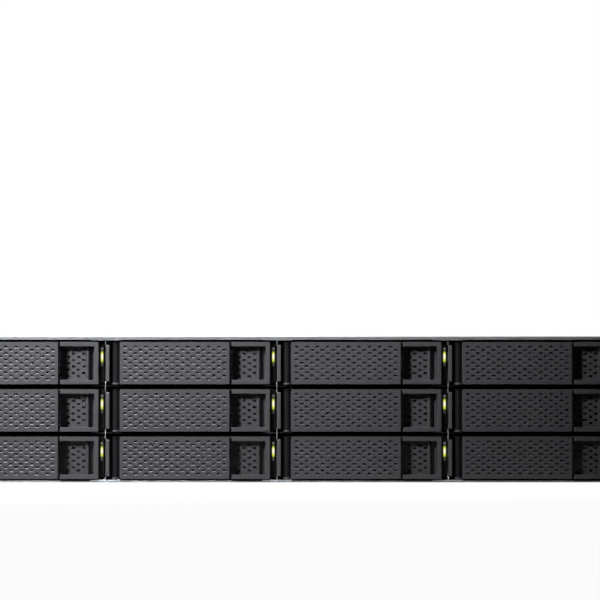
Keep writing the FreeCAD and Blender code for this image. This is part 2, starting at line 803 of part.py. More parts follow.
# Swing lever: a hollow grille plate on a hinge barrel with a pin at each end.
def make_lever_master():
    body = new_body("lever_master")
    solid(body, "lever_block", "XZ", "lever_front", "lever_depth",
          rect("lever_left", "lever_right", "panel_lift", "panel_top"))
    cut(body, "lever_hollow", "XZ", "lever_front + lever_skin", "lever_depth - lever_skin",
        rect("lever_left + lever_wall", "lever_right - lever_wall",
             "panel_lift + lever_wall", "panel_top - lever_wall"))
    rows = (("outer", "grille_left", "grille_low", (GRILLE_ROWS + 1) // 2),
            ("inner", "grille_left + grille_pitch / 2", "grille_low + grille_step", GRILLE_ROWS // 2))
    for name, left, low, count in rows:
        hole = cut(body, "grille_hole_" + name, "XZ", "lever_front", "lever_skin",
                   rect(left, left + " + grille_hole_width", low, low + " + grille_hole_height"),
                   taper="-grille_taper")
        repeat(body, hole, "X", "grille_pitch", GRILLE_HOLES, "Z", "2 * grille_step", count)
    solid(body, "lever_knuckle", "XY", "barrel_low", "barrel_height",
          rect("hinge_across", "lever_left + lever_wall",
               "hinge_back - knuckle_thickness / 2", "hinge_back + knuckle_thickness / 2"))
    solid(body, "hinge_barrel", "XY", "barrel_low", "barrel_height",
          ("round", "hinge_across", "hinge_back", "barrel_radius"))
    solid(body, "hinge_pins", "XY", "panel_lift + barrel_fit", "panel_height - 2 * barrel_fit",
          ("round", "hinge_across", "hinge_back", "pin_radius"))
    return body


# Disk drive: a cast base, a stepped lid, a board recess underneath and a plug at the back.
def make_drive_master():
    body = new_body("drive_master")
    corner = "drive_corner"
    plan = [
        ("drive_left + " + corner, "drive_setback"),
        ("drive_right - " + corner, "drive_setback"),
        ("drive_right", "drive_setback + " + corner),
        ("drive_right", "drive_back - " + corner),
        ("drive_right - " + corner, "drive_back"),
        ("drive_left + " + corner, "drive_back"),
        ("drive_left", "drive_back - " + corner),
        ("drive_left", "drive_setback + " + corner),
    ]
    solid(body, "drive_casting", "XY", "tray_floor", "drive_height - drive_lid", plan)
    inset = "drive_lid_inset"
    solid(body, "drive_lid_plate", "XY", "drive_top - drive_lid", "drive_lid",
          rect("drive_left + " + inset, "drive_right - " + inset,
               "drive_setback + 2 * " + inset, "drive_back - 2 * " + inset))
    cut(body, "drive_board_recess", "XY", "tray_floor", "drive_board_depth",
        rect("drive_left + drive_rim", "drive_right - drive_rim",
             "drive_setback + 2 * drive_rim", "drive_back - drive_rim"))
    cut(body, "plug_recess", "XZ", "drive_back - plug_reach - plug_fit", "plug_reach + plug_fit",
        rect("plug_left - plug_fit", "plug_left + plug_width + plug_fit",
             "plug_bottom - plug_fit", "plug_bottom + plug_height + plug_fit"))
    return body


def make_bays():
    """Twelve trays, levers and drives, each placed in its own bay."""
    tray = make_tray_master()
    pipe = make_light_pipe()
    lever = make_lever_master()
    drive = make_drive_master()
    for row in range(ROWS):
        for column in range(COLUMNS):
            bay = "r%dc%d" % (row + 1, column + 1)
            spot = (column_left(column), "front_face", row_bottom(row))
            keep("tray_" + bay, copy_of("tray_copy_" + bay, [tray, pipe], *spot))
            keep("lever_" + bay, copy_of("lever_copy_" + bay, [lever], *spot))
            keep("drive_" + bay, copy_of("drive_copy_" + bay, [drive], *spot))


# Backplane: the board behind the cage, with an air slot beside each drive socket.
def make_backplane():
    body = new_body("backplane_body")
    solid(body, "backplane_board", "XZ", "cage_depth", "board_thickness",
          rect("-cage_half", "cage_half", "base_sheet", "cage_top"))
    left = "-cage_half + plug_left + plug_width + plug_fit"
    low = "tray_bottom + (row_pitch - board_slot_height) / 2"
    slot = cut(body, "air_slot", "XZ", "cage_depth", "board_thickness",
               rect(left, left + " + board_slot_width", low, low + " + board_slot_height"))
    repeat(body, slot, "X", "bay_pitch", COLUMNS, "Z", "row_pitch", ROWS)
    keep_fixed("backplane", body)


# Drive sockets: one on the backplane behind each bay, its tongue in the drive's plug.
def make_drive_sockets():
    socket = new_body("socket_master")
    solid(socket, "socket_tongue", "XZ", "drive_back - plug_reach", "cage_depth - drive_back + plug_reach",
          rect("plug_left", "plug_left + plug_width", "plug_bottom", "plug_bottom + plug_height"))
    solid(socket, "socket_base", "XZ", "drive_back + plug_fit", "cage_depth - drive_back - plug_fit",
          rect("plug_left - plug_reach", "plug_left + plug_width + plug_reach",
               "plug_bottom - plug_fit", "plug_bottom + plug_height + plug_fit"))
    sockets = []
    for row in range(ROWS):
        for column in range(COLUMNS):
            name = "socket_r%dc%d" % (row + 1, column + 1)
            sockets.append(copy_of(name, [socket], column_left(column), "0", row_bottom(row)))
    keep_fixed("drive_sockets", group("drive_sockets_group", sockets))


# Fan frame: square flanges, a round duct and a stator on three struts with the rotor's shaft.
def make_fan_frame_master():
    body = new_body("fan_frame_master")
    solid(body, "fan_duct", "XZ", "0", "fan_depth",
          rect("-fan_half", "fan_half", "-fan_half", "fan_half"),
          ("round", "0", "0", "fan_bore_radius"))
    corner = cut(body, "fan_waist", "XZ", "fan_flange", "fan_depth - 2 * fan_flange",
                 rect("fan_half - fan_corner", "fan_half", "fan_half - fan_corner", "fan_half"))
    turn(body, corner, "Y", FAN_CORNERS)
    strut_start = "fan_depth - stator_depth / 2"
    solid(body, "stator_hub", "XZ", "fan_depth - stator_depth", "stator_depth",
          ("round", "0", "0", "stator_radius"))
    strut = solid(body, "stator_strut", "XZ", strut_start, "stator_depth / 2",
                  rect("-strut_width / 2", "strut_width / 2", "0", "(fan_bore_radius + fan_half) / 2"))
    turn(body, strut, "Y", FAN_STRUTS)
    solid(body, "fan_shaft", "XZ", "rotor_front", "fan_depth - rotor_front",
          ("round", "0", "0", "shaft_radius"))
    return body


def blade_section(body, name, radius, chord, pitch):
    """Blade cross-section at a distance from the shaft, turned to the pitch it has there."""
    sketch = new_sketch(body, name, "YZ", radius)
    turned = FreeCAD.Rotation(FreeCAD.Vector(0, 0, 1), value(pitch))
    sketch.AttachmentOffset = FreeCAD.Placement(FreeCAD.Vector(), turned)
    sketch.setExpression("AttachmentOffset.Rotation.Angle", bound(pitch) + " * 1 deg")
    thin = "blade_thickness / 2"
    draw_outline(sketch, rect("-%s / 2" % chord, "%s / 2" % chord, "-" + thin, thin))
    sketch.setExpression("AttachmentOffset.Base.z", bound(radius))
    return sketch


# Fan rotor: a hub that runs on the shaft and twisted blades, trimmed round to clear the duct.
def make_fan_rotor_master():
    body = new_body("fan_rotor_master")
    solid(body, "rotor_hub", "XZ", "-rotor_depth / 2", "rotor_depth", ("round", "0", "0", "rotor_radius"))
    root = blade_section(body, "blade_root", "rotor_radius - blade_thickness", "blade_root_chord",
                         "blade_root_pitch")
    tip = blade_section(body, "blade_tip", "blade_radius", "blade_tip_chord", "blade_tip_pitch")
    blade = body.newObject("PartDesign::AdditiveLoft", "fan_blade")
    blade.Profile = root
    blade.Sections = [tip]
    blade.Ruled = True
    turn(body, blade, "Y", FAN_BLADES)
    cut(body, "tip_trim", "XZ", "-rotor_depth / 2", "rotor_depth",
        ("round", "0", "0", "fan_size"), ("round", "0", "0", "blade_radius"))
    cut(body, "rotor_bore", "XZ", "-rotor_depth / 2", "rotor_depth",
        ("round", "0", "0", "shaft_radius + shaft_fit"))
    return body


def make_fans():
    frame = make_fan_frame_master()
    rotor = make_fan_rotor_master()
    frames = []
    for index in range(FAN_COUNT):
        across = "(%d - %d / 2) * fan_spacing" % (index, FAN_COUNT - 1)
        frames.append(copy_of("fan_frame_%d" % (index + 1), [frame], across, "fan_front", "fan_axis"))
        back = "front_face + fan_front + rotor_front + rotor_depth / 2"
        name = "fan_rotor_%d" % (index + 1)
        keep(name, copy_of(name + "_copy", [rotor], across, back, "fan_axis"))
    keep_fixed("fan_frames", group("fan_frames_group", frames))


# Mainboard on its standoffs, with the heatsink and the memory in their sockets.
def make_mainboard():
    board = new_body("mainboard_body")
    solid(board, "mainboard_sheet", "XY", "board_bottom", "mainboard_thickness",
          rect("mainboard_left", "mainboard_left + mainboard_width", "mainboard_front", "mainboard_back"))
    keep_fixed("mainboard", board)
    sink = new_body("cpu_heatsink_body")
    right = "heatsink_left + heatsink_size"
    back = "heatsink_front + heatsink_size"
    solid(sink, "heatsink_plate", "XY", "board_top", "heatsink_base",
          rect("heatsink_left", right, "heatsink_front", back))
    fin = solid(sink, "heatsink_fin", "XY", "board_top", "heatsink_height",
                rect("heatsink_left", "heatsink_left + fin_thickness", "heatsink_front", back))
    repeat(sink, fin, "X", "fin_pitch", HEATSINK_FINS)
    keep_fixed("cpu_heatsink", sink)
    stick = new_body("memory_master")
    end = "memory_front + memory_length"
    solid(stick, "memory_socket", "XY", "board_top", "memory_socket_height",
          rect("-memory_socket_width / 2", "memory_socket_width / 2",
               "memory_front - memory_socket_width", end + " + memory_socket_width"))
    solid(stick, "memory_card", "XY", "board_top", "memory_height",
          rect("-memory_thickness / 2", "memory_thickness / 2", "memory_front", end))
    sticks = []
    for index in range(MEMORY_STICKS):
        across = "memory_left + %d * memory_pitch" % index
        sticks.append(copy_of("memory_stick_%d" % (index + 1), [stick], across, "0", "0"))
    keep_fixed("memory_modules", group("memory_group", sticks))


# Power supply cage: a folded sheet with one room above the other.
def make_psu_cage():
    body = new_body("psu_cage_body")
    left = "psu_across - psu_cage_half"
    right = "psu_across + psu_cage_half"
    rooms = []
    for index in range(len(PSU_PLACES)):
        low = "base_sheet + psu_sheet + %d * psu_rise" % index
        rooms.append(rect(left + " + psu_sheet", right + " - psu_sheet", low, low + " + psu_room"))
    front = "psu_front + psu_cage_short"
    solid(body, "psu_cage_sheet", "XZ", front, "psu_length - psu_cage_short - base_sheet",
          rect(left, right, "base_sheet", "psu_cage_top"), *rooms)
    keep_fixed("psu_cage", body)


# Power supply: a box with a mains inlet, air slots and a pull handle at its back.
def make_psu_master():
    body = new_body("psu_master")
    solid(body, "psu_box", "XZ", "psu_front", "psu_length", rect("-psu_half", "psu_half", "0", "psu_height"))
    middle = "psu_height / 2"
    inlet_left = "inlet_across - inlet_width / 2"
    inlet_right = "inlet_across + inlet_width / 2"
    inlet_low = middle + " - inlet_height / 2"
    inlet_high = middle + " + inlet_height / 2"
    inlet = [
        (inlet_left, inlet_low),
        (inlet_right, inlet_low),
        (inlet_right, inlet_high + " - inlet_corner"),
        (inlet_right + " - inlet_corner", inlet_high),
        (inlet_left + " + inlet_corner", inlet_high),
        (inlet_left, inlet_high + " - inlet_corner"),
    ]
    cut(body, "mains_inlet", "XZ", "psu_back - inlet_depth", "inlet_depth", inlet)
    vent = cut(body, "psu_vent", "XZ", "psu_back - inlet_depth", "inlet_depth",
               rect("handle_across - psu_vent_width / 2", "handle_across + psu_vent_width / 2",
                    "psu_vent_pitch - psu_vent_height / 2", "psu_vent_pitch + psu_vent_height / 2"))
    repeat(body, vent, "Z", "psu_vent_pitch", PSU_VENTS)
    tongue_left = "latch_across - latch_tongue / 2 - latch_travel - latch_fit"
    tongue_right = "latch_across + latch_tongue / 2 + latch_fit"
    cut(body, "latch_slot", "XZ", "psu_back - latch_depth - latch_fit", "latch_depth + latch_fit",
        rect(tongue_left, tongue_right, middle + " - latch_height / 2 - latch_fit",
             middle + " + latch_height / 2 + latch_fit"))
    left = "handle_across - handle_width / 2"
    right = "handle_across + handle_width / 2"
    loop = [
        (left, "psu_back"),
        (left, "psu_back + handle_reach"),
        (right, "psu_back + handle_reach"),
        (right, "psu_back"),
        (right + " - handle_bar", "psu_back"),
        (right + " - handle_bar", "psu_back + handle_reach - handle_bar"),
        (left + " + handle_bar", "psu_back + handle_reach - handle_bar"),
        (left + " + handle_bar", "psu_back"),
    ]
    solid(body, "pull_handle", "XY", middle + " - handle_height / 2", "handle_height", loop)
    return body


# Release tab: a tongue in the power supply's slot, with a thumb piece behind it.
def make_latch_master():
    body = new_body("latch_master")
    middle = "psu_height / 2"
    low = middle + " - latch_height / 2"
    high = middle + " + latch_height / 2"
    solid(body, "latch_spring", "XZ", "psu_back - latch_depth", "latch_depth + latch_reach",
          rect("latch_across - latch_tongue / 2", "latch_across + latch_tongue / 2", low, high))
    thumb_left = "latch_across - latch_tongue / 2 - latch_thumb / 2"
    solid(body, "latch_thumb_piece", "XZ", "psu_back + latch_reach - latch_thumb", "latch_thumb",
          rect(thumb_left, "latch_across + latch_tongue / 2", low, high))
    return body


def make_psus():
    psu = make_psu_master()
    latch = make_latch_master()
    for index, place_name in enumerate(PSU_PLACES):
        spot = ("psu_across", "front_face", "psu_bottom + %d * psu_rise" % index)
        keep("psu_" + place_name, copy_of("psu_copy_" + place_name, [psu], *spot))
        keep("psu_latch_" + place_name, copy_of("psu_latch_copy_" + place_name, [latch], *spot))


def make_port(name, width, height, cavity):
    """Shell of a port on the board, open at the back of the case."""
    body = new_body(name)
    solid(body, name + "_shell", "XZ", "port_front", "port_depth",
          rect("0", width, "board_top", "board_top + " + height))
    cut(body, name + "_cavity", "XZ", "port_back - " + cavity, cavity,
        rect("port_wall", width + " - port_wall", "board_top + port_wall",
             "board_top + %s - port_wall" % height))
    return body


# Rear ports: network and USB sockets on the mainboard's back edge.
def make_rear_ports():
    network = make_port("network_master", "network_width", "network_height", "network_cavity")
    usb = make_port("usb_master", "usb_width", "usb_height", "usb_cavity")
    ports = []
    for index in range(NETWORK_PORTS):
        across = "network_left + %d * network_pitch" % index
        ports.append(copy_of("network_port_%d" % (index + 1), [network], across, "0", "0"))
    for index in range(USB_PORTS):
        across = "usb_left + %d * usb_pitch" % index
        ports.append(copy_of("usb_port_%d" % (index + 1), [usb], across, "0", "0"))
    keep_fixed("rear_ports", group("rear_ports_group", ports))


def is_sound(shape, sound):
    """Test each solid, apart from placed copies of one that was tested before."""
    for piece in shape.Solids:
        if any(piece.isPartner(other) for other in sound):
            continue
        if not piece.isValid():
            return False
        sound.append(piece)
    return True


def check_document():
    """Stop if any object failed, any sub-part is empty or any cut took nothing away."""
    for item in DOC.Objects:
        if "Invalid" in item.State or "Error" in item.State:
            raise RuntimeError("failed object: %s %s" % (item.Name, item.State))
        if item.TypeId == "PartDesign::Pocket" and item.BaseFeature:
            if item.Shape.Volume >= item.BaseFeature.Shape.Volume - SMALLEST_CUT:
                raise RuntimeError("cut takes nothing away: " + item.Name)
    sound = []
    for name, item in NODES.items():
        if item.Shape.isNull() or not item.Shape.Solids or not is_sound(item.Shape, sound):
            raise RuntimeError("sub-part has no valid shape: " + name)


def write_parts():
    os.makedirs("parts", exist_ok=True)
    for name, item in NODES.items():
        item.Shape.exportStep("parts/%s.step" % name)


def main():
    fill_sheet()
    make_chassis_base()
    make_covers()
    make_rear_panel()
    make_rack_ear("-", False)
    make_rack_ear("", True)
    make_power_button()
    make_bay_walls()
    make_cage_brace()
    make_bays()
    make_backplane()
    make_drive_sockets()
    make_fans()
    make_mainboard()
    make_psu_cage()
    make_psus()
    make_rear_ports()
    DOC.recompute()
    check_document()
    write_parts()


main()
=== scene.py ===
import bpy
import math
from mathutils import Matrix, Vector


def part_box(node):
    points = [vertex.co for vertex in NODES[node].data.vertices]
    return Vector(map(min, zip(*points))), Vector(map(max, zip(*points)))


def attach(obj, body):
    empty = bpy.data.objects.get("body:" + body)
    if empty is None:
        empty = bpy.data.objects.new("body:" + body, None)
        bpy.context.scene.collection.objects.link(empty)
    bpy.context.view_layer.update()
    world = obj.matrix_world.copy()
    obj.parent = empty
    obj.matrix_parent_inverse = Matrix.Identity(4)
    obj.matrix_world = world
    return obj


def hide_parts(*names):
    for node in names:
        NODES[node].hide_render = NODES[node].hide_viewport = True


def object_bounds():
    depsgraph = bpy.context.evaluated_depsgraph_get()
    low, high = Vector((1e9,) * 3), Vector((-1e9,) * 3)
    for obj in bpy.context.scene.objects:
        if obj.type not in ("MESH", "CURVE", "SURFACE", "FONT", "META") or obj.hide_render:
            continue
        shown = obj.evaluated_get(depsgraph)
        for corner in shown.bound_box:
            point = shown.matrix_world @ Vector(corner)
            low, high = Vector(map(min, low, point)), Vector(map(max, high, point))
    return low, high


# Looks of a rack storage server: zinc coated sheet round twelve charcoal drive trays.
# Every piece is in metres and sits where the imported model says; fronts face the negative y axis.
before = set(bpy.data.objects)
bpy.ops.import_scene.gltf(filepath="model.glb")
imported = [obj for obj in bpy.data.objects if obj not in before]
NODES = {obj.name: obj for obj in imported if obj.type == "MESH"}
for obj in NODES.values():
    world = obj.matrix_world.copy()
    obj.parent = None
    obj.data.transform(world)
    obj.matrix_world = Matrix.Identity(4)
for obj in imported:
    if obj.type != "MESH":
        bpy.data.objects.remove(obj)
CAD_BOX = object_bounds()
MM = 0.001
SLIVER = 0.01 * MM

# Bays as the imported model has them
ROWS = 3
COLUMNS = 4
BAYS = [(row, column) for row in range(1, ROWS + 1) for column in range(1, COLUMNS + 1)]
FIRST_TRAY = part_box("tray_r1c1")
BAY_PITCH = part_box("tray_r1c2")[0].x - FIRST_TRAY[0].x
ROW_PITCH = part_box("tray_r2c1")[0].z - FIRST_TRAY[0].z
BAY_LEFT = -COLUMNS / 2 * BAY_PITCH
FRONT = CAD_BOX[0].y
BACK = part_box("rear_panel")[1].y
TOP = CAD_BOX[1].z


def bay(row, column):
    """Name of a bay; row 1 is the lowest and column 1 the left one."""
    return "r%dc%d" % (row, column)


def linear(hex_colour):
    """Linear colour of an sRGB hex value."""
    channels = [int(hex_colour[start:start + 2], 16) / 255 for start in (1, 3, 5)]
    return [c / 12.92 if c <= 0.04045 else ((c + 0.055) / 1.055) ** 2.4 for c in channels] + [1.0]


# Nodes and materials

# A Mix node's sockets go by number, as their names repeat: two values, two colours and the colour it gives
VALUE_A = 2
VALUE_B = 3
COLOUR_A = 6
COLOUR_B = 7
COLOUR_OUT = 2


def add_node(tree, kind, settings=None, links=None):
    """Add a node, set its properties or input values, and link its inputs to other nodes' outputs."""
    item = tree.nodes.new(kind)
    for name, value in (settings or {}).items():
        if isinstance(name, str) and hasattr(item, name):
            setattr(item, name, value)
        else:
            item.inputs[name].default_value = value
    for name, source in (links or {}).items():
        tree.links.new(source, item.inputs[name])
    return item


def start_material(name, settings):
    """Material with a Principled shader whose constant values are set on its own sockets."""
    material = bpy.data.materials.new(name)
    material.use_nodes = True
    tree = material.node_tree
    shader = tree.nodes["Principled BSDF"]
    for socket, value in settings.items():
        shader.inputs[socket].default_value = value
    place = add_node(tree, "ShaderNodeTexCoord").outputs["Object"]
    return material, tree, shader, place


def lead_to_shader(tree, shader, colour, rough, dents):
    """Lead a finish's colour, roughness and relief to the shader."""
    tree.links.new(colour.outputs[COLOUR_OUT], shader.inputs["Base Color"])
    tree.links.new(rough.outputs[0], shader.inputs["Roughness"])
    tree.links.new(dents.outputs[0], shader.inputs["Normal"])


# Marks in plastic and on sheet: their size, and their share in the tone
FLOW_MARK = 35 * MM
FLOW_SHARE = 0.35
SHEET_SCRATCH = 1.5 * MM
SCRATCH_SHARE = 0.5


def moulded_abs(name, shade, bright, roughness, gloss=0.35, grain=0.8 * MM, bump=0.2):
    """Injection moulded ABS or nylon with a spark eroded grain: flat, a little mottled, never a mirror.
    The real grain is near 0.1 mm; it is drawn coarser so that it shows in the render."""
    material, tree, shader, place = start_material(name, {"IOR": 1.5, "Specular IOR Level": gloss})
    speck = add_node(tree, "ShaderNodeTexNoise", {"Scale": 1 / grain, "Detail": 3.0, "Roughness": 0.65},
                     {"Vector": place})
    flow = add_node(tree, "ShaderNodeTexNoise", {"Scale": 1 / FLOW_MARK, "Detail": 2.0}, {"Vector": place})
    both = add_node(tree, "ShaderNodeMath", {"operation": "MULTIPLY_ADD", 1: FLOW_SHARE},
                    {0: flow.outputs["Fac"], 2: speck.outputs["Fac"]})
    tone = add_node(tree, "ShaderNodeMapRange", {"From Min": 0.4, "From Max": 0.95},
                    {"Value": both.outputs[0]})
    colour = add_node(tree, "ShaderNodeMix",
                      {"data_type": "RGBA", COLOUR_A: linear(shade), COLOUR_B: linear(bright)},
                      {"Factor": tone.outputs[0]})
    rough = add_node(tree, "ShaderNodeMapRange", {"To Min": roughness - 0.06, "To Max": roughness + 0.06},
                     {"Value": speck.outputs["Fac"]})
    dents = add_node(tree, "ShaderNodeBump", {"Strength": bump, "Distance": 0.06 * MM},
                     {"Height": speck.outputs["Fac"]})
    lead_to_shader(tree, shader, colour, rough, dents)
    return material


def zinc_steel(name, shade, bright, roughness, spangle=4 * MM, metallic=1.0):
    """Zinc coated sheet, or cast, milled or plated metal: satin, in crystals that differ in tone and gloss.
    Below full metallic, the dull oxide on the zinc scatters part of the light."""
    material, tree, shader, place = start_material(name, {"Metallic": metallic})
    crystal = add_node(tree, "ShaderNodeTexVoronoi", {"Scale": 1 / spangle, "Randomness": 1.0},
                       {"Vector": place})
    scratch = add_node(tree, "ShaderNodeTexNoise", {"Scale": 1 / SHEET_SCRATCH, "Detail": 4.0},
                       {"Vector": place})
    grey = add_node(tree, "ShaderNodeSeparateColor", None, {"Color": crystal.outputs["Color"]})
    mixed = add_node(tree, "ShaderNodeMath", {"operation": "MULTIPLY_ADD", 1: SCRATCH_SHARE},
                     {0: scratch.outputs["Fac"], 2: grey.outputs["Red"]})
    tone = add_node(tree, "ShaderNodeMapRange", {"From Max": 1 + SCRATCH_SHARE}, {"Value": mixed.outputs[0]})
    colour = add_node(tree, "ShaderNodeMix",
                      {"data_type": "RGBA", COLOUR_A: linear(shade), COLOUR_B: linear(bright)},
                      {"Factor": tone.outputs[0]})
    rough = add_node(tree, "ShaderNodeMapRange", {"To Min": roughness - 0.03, "To Max": roughness + 0.03},
                     {"Value": grey.outputs["Green"]})
    dents = add_node(tree, "ShaderNodeBump", {"Strength": 0.08, "Distance": 0.05 * MM},
                     {"Height": scratch.outputs["Fac"]})
    lead_to_shader(tree, shader, colour, rough, dents)
    return material


# Colours of a lit light pipe, from its lower end up, by share of its height; the grey stop at 0.12 and the
# pale grey stop at 0.9 are painted glints on the pipe's two ends
GLOW_AND_GLINT_STOPS = [(0.0, "#141414"), (0.12, "#3a3d36"), (0.2, "#30331c"), (0.25, "#b4c22c"), (0.36, "#eef25a"),
              (0.44, "#fdfde2"), (0.58, "#fdfde2"), (0.66, "#eef25a"), (0.74, "#9aa936"), (0.8, "#1c1e16"),
              (0.86, "#1a1a1a"), (0.9, "#8d8f90"), (0.95, "#232323")]
GLOW_CORE = 0.35
GLOW_RIM = 0.1
PIPE_BODY = "#3c3e3a"


def lit_acrylic(name, left, width, low, height):
    """Clear acrylic light pipe with its lamp on: a near white core in yellow green, with a painted grey
    glint below it and a painted pale glint at the tip.
    Place wraps at the pitches of the bays, so that all lamps are alike."""
    settings = {"Base Color": linear(PIPE_BODY), "Roughness": 0.25, "IOR": 1.49}
    material, tree, shader, place = start_material(name, settings)
    axes = add_node(tree, "ShaderNodeSeparateXYZ", None, {"Vector": place})
    wrapped = add_node(tree, "ShaderNodeMath", {"operation": "WRAP", 1: low + ROW_PITCH, 2: low},
                       {0: axes.outputs["Z"]})
    share = add_node(tree, "ShaderNodeMapRange", {"From Min": low, "From Max": low + height},
                     {"Value": wrapped.outputs[0]})
    glow = add_node(tree, "ShaderNodeValToRGB", None, {"Fac": share.outputs[0]})
    ramp = glow.color_ramp
    while len(ramp.elements) < len(GLOW_AND_GLINT_STOPS):
        ramp.elements.new(1.0)
    for element, (position, colour) in zip(ramp.elements, GLOW_AND_GLINT_STOPS):
        element.position = position
        element.color = linear(colour)
    half = BAY_PITCH / 2
    sideways = add_node(tree, "ShaderNodeMath", {"operation": "WRAP", 1: left + half, 2: left - half},
                        {0: axes.outputs["X"]})
    across = add_node(tree, "ShaderNodeMapRange",
                      {"From Min": left, "From Max": left + width, "To Min": -1.0},
                      {"Value": sideways.outputs[0]})
    aside = add_node(tree, "ShaderNodeMath", {"operation": "ABSOLUTE"}, {0: across.outputs[0]})
    core = add_node(tree, "ShaderNodeMapRange",
                    {"interpolation_type": "SMOOTHSTEP", "From Min": GLOW_CORE, "To Min": 1.0,
                     "To Max": GLOW_RIM}, {"Value": aside.outputs[0]})
    tree.links.new(core.outputs[0], shader.inputs["Emission Strength"])
    tree.links.new(glow.outputs["Color"], shader.inputs["Emission Color"])
    return material


def powder_coat(name, shade, bright, roughness, grain=0.9 * MM):
    """Epoxy powder coat on steel: an even colour with a fine orange peel that breaks up reflections."""
    material, tree, shader, place = start_material(name, {"IOR": 1.5})
    peel = add_node(tree, "ShaderNodeTexNoise", {"Scale": 1 / grain, "Detail": 2.0}, {"Vector": place})
    colour = add_node(tree, "ShaderNodeMix",
                      {"data_type": "RGBA", COLOUR_A: linear(shade), COLOUR_B: linear(bright)},
                      {"Factor": peel.outputs["Fac"]})
    rough = add_node(tree, "ShaderNodeMapRange", {"To Min": roughness - 0.08, "To Max": roughness + 0.08},
                     {"Value": peel.outputs["Fac"]})
    dents = add_node(tree, "ShaderNodeBump", {"Strength": 0.3, "Distance": 0.08 * MM},
                     {"Height": peel.outputs["Fac"]})
    lead_to_shader(tree, shader, colour, rough, dents)
    return material


def solder_mask(name, shade, bright, track=2.2 * MM):
    """Glass epoxy board under a glossy green solder mask, with the copper tracks showing as paler lines.
    Real tracks lie well under a millimetre apart; they are drawn coarser so that they show."""
    material, tree, shader, place = start_material(name, {"Roughness": 0.32, "IOR": 1.52})
    cells = add_node(tree, "ShaderNodeTexBrick",
                     {"Scale": 1.0, "Brick Width": 9 * track, "Row Height": track,
                      "Mortar Size": 0.18 * track, "Color1": linear(shade), "Color2": linear(shade),
                      "Mortar": linear(bright)},
                     {"Vector": place})
    tree.links.new(cells.outputs["Color"], shader.inputs["Base Color"])
    dents = add_node(tree, "ShaderNodeBump", {"Strength": 0.2, "Distance": 0.05 * MM},
                     {"Height": cells.outputs["Fac"]})
    tree.links.new(dents.outputs[0], shader.inputs["Normal"])
    return material


# Plastics: charcoal fronts, a slightly paler strip, a dull dark barrel and black that swallows the light
CHARCOAL = moulded_abs("charcoal_abs", "#535357", "#626266", 0.36, 0.4)
HINGE_GREY = moulded_abs("hinge_abs", "#1a1a1c", "#222225", 0.55, 0.12)
# The strip's paler grey also paints a glint on the front of each tray's lower hinge lug
STRIP_AND_GLINT_GREY = moulded_abs("strip_and_glint_abs", "#5c5c60", "#6c6c70", 0.36, 0.4)
BLACK = moulded_abs("black_abs", "#0a090a", "#100f10", 0.6, 0.15)
FAN_BLACK = moulded_abs("fan_nylon", "#121214", "#1c1c1f", 0.5)
BUTTON_GREY = moulded_abs("button_abs", "#2c2c2f", "#38383b", 0.35)
LATCH_GREEN = moulded_abs("latch_nylon", "#1f7a45", "#2a8a50", 0.4)
# Metals: bright new zinc in the cage, duller zinc on the case, and cast, milled and plated pieces
ZINC = zinc_steel("galvanised_steel", "#cdd5dc", "#e6ecf1", 0.36)
CASE_ZINC = zinc_steel("zinc_coated_case_steel", "#cfd2d4", "#dddfe1", 0.46, metallic=0.62)
# The base's zinc is darker than the case's as painted shade on its front edge, which lies in shade at the
# bottom of the front
SHADE_DARKENED_BASE_ZINC = zinc_steel("zinc_base_darkened_as_shade", "#8e9296", "#a4a8ac", 0.4)
CAST_ALLOY = zinc_steel("cast_aluminium", "#a9abae", "#c2c4c7", 0.45, 2 * MM)
MILLED_ALLOY = zinc_steel("milled_aluminium", "#cfd1d4", "#e0e2e5", 0.3, 1.5 * MM)
NICKEL = zinc_steel("nickel_plate", "#cbcac6", "#dddcd8", 0.22, 3 * MM)
GOLD = zinc_steel("gold_flash", "#b98f3c", "#d6b062", 0.25, 2 * MM)
# Small coloured mouldings, paint and boards at the back and inside
LAMP_GREEN = moulded_abs("green_window", "#3f6b3a", "#4d7c46", 0.3)
LAMP_AMBER = moulded_abs("amber_window", "#8a6a2c", "#9c7a36", 0.3)
USB_BLUE = moulded_abs("blue_tongue", "#1d3f86", "#264b96", 0.4)
EAR_BLACK = powder_coat("ear_powder_coat", "#1c1c1e", "#28282b", 0.45)
BOARD_GREEN = solder_mask("green_solder_mask", "#12452a", "#1d5c39")


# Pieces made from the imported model

SHARP_ANGLE = math.radians(35)
FLAT_ANGLE = math.radians(0.5)
MERGE_GAP = 0.001 * MM


def activate(piece):
    """Select one piece alone and make it the active one."""
    bpy.ops.object.select_all(action="DESELECT")
    piece.select_set(True)
    bpy.context.view_layer.objects.active = piece


def finish_edges(piece, width, segments=2):
    """Round a piece's sharp edges and shade its soft ones smooth."""
    activate(piece)
    edge = piece.modifiers.new("edges", "BEVEL")
    edge.width = width
    edge.segments = segments
    edge.limit_method = "ANGLE"
    edge.angle_limit = SHARP_ANGLE
    edge.use_clamp_overlap = False
    bpy.ops.object.modifier_apply(modifier="edges")
    smooth_faces(piece)


def select_only(piece, edges=None):
    """Leave nothing of a mesh selected but the edges that are flagged."""
    mesh = piece.data
    mesh.polygons.foreach_set("select", [False] * len(mesh.polygons))
    mesh.vertices.foreach_set("select", [False] * len(mesh.vertices))
    mesh.edges.foreach_set("select", edges or [False] * len(mesh.edges))


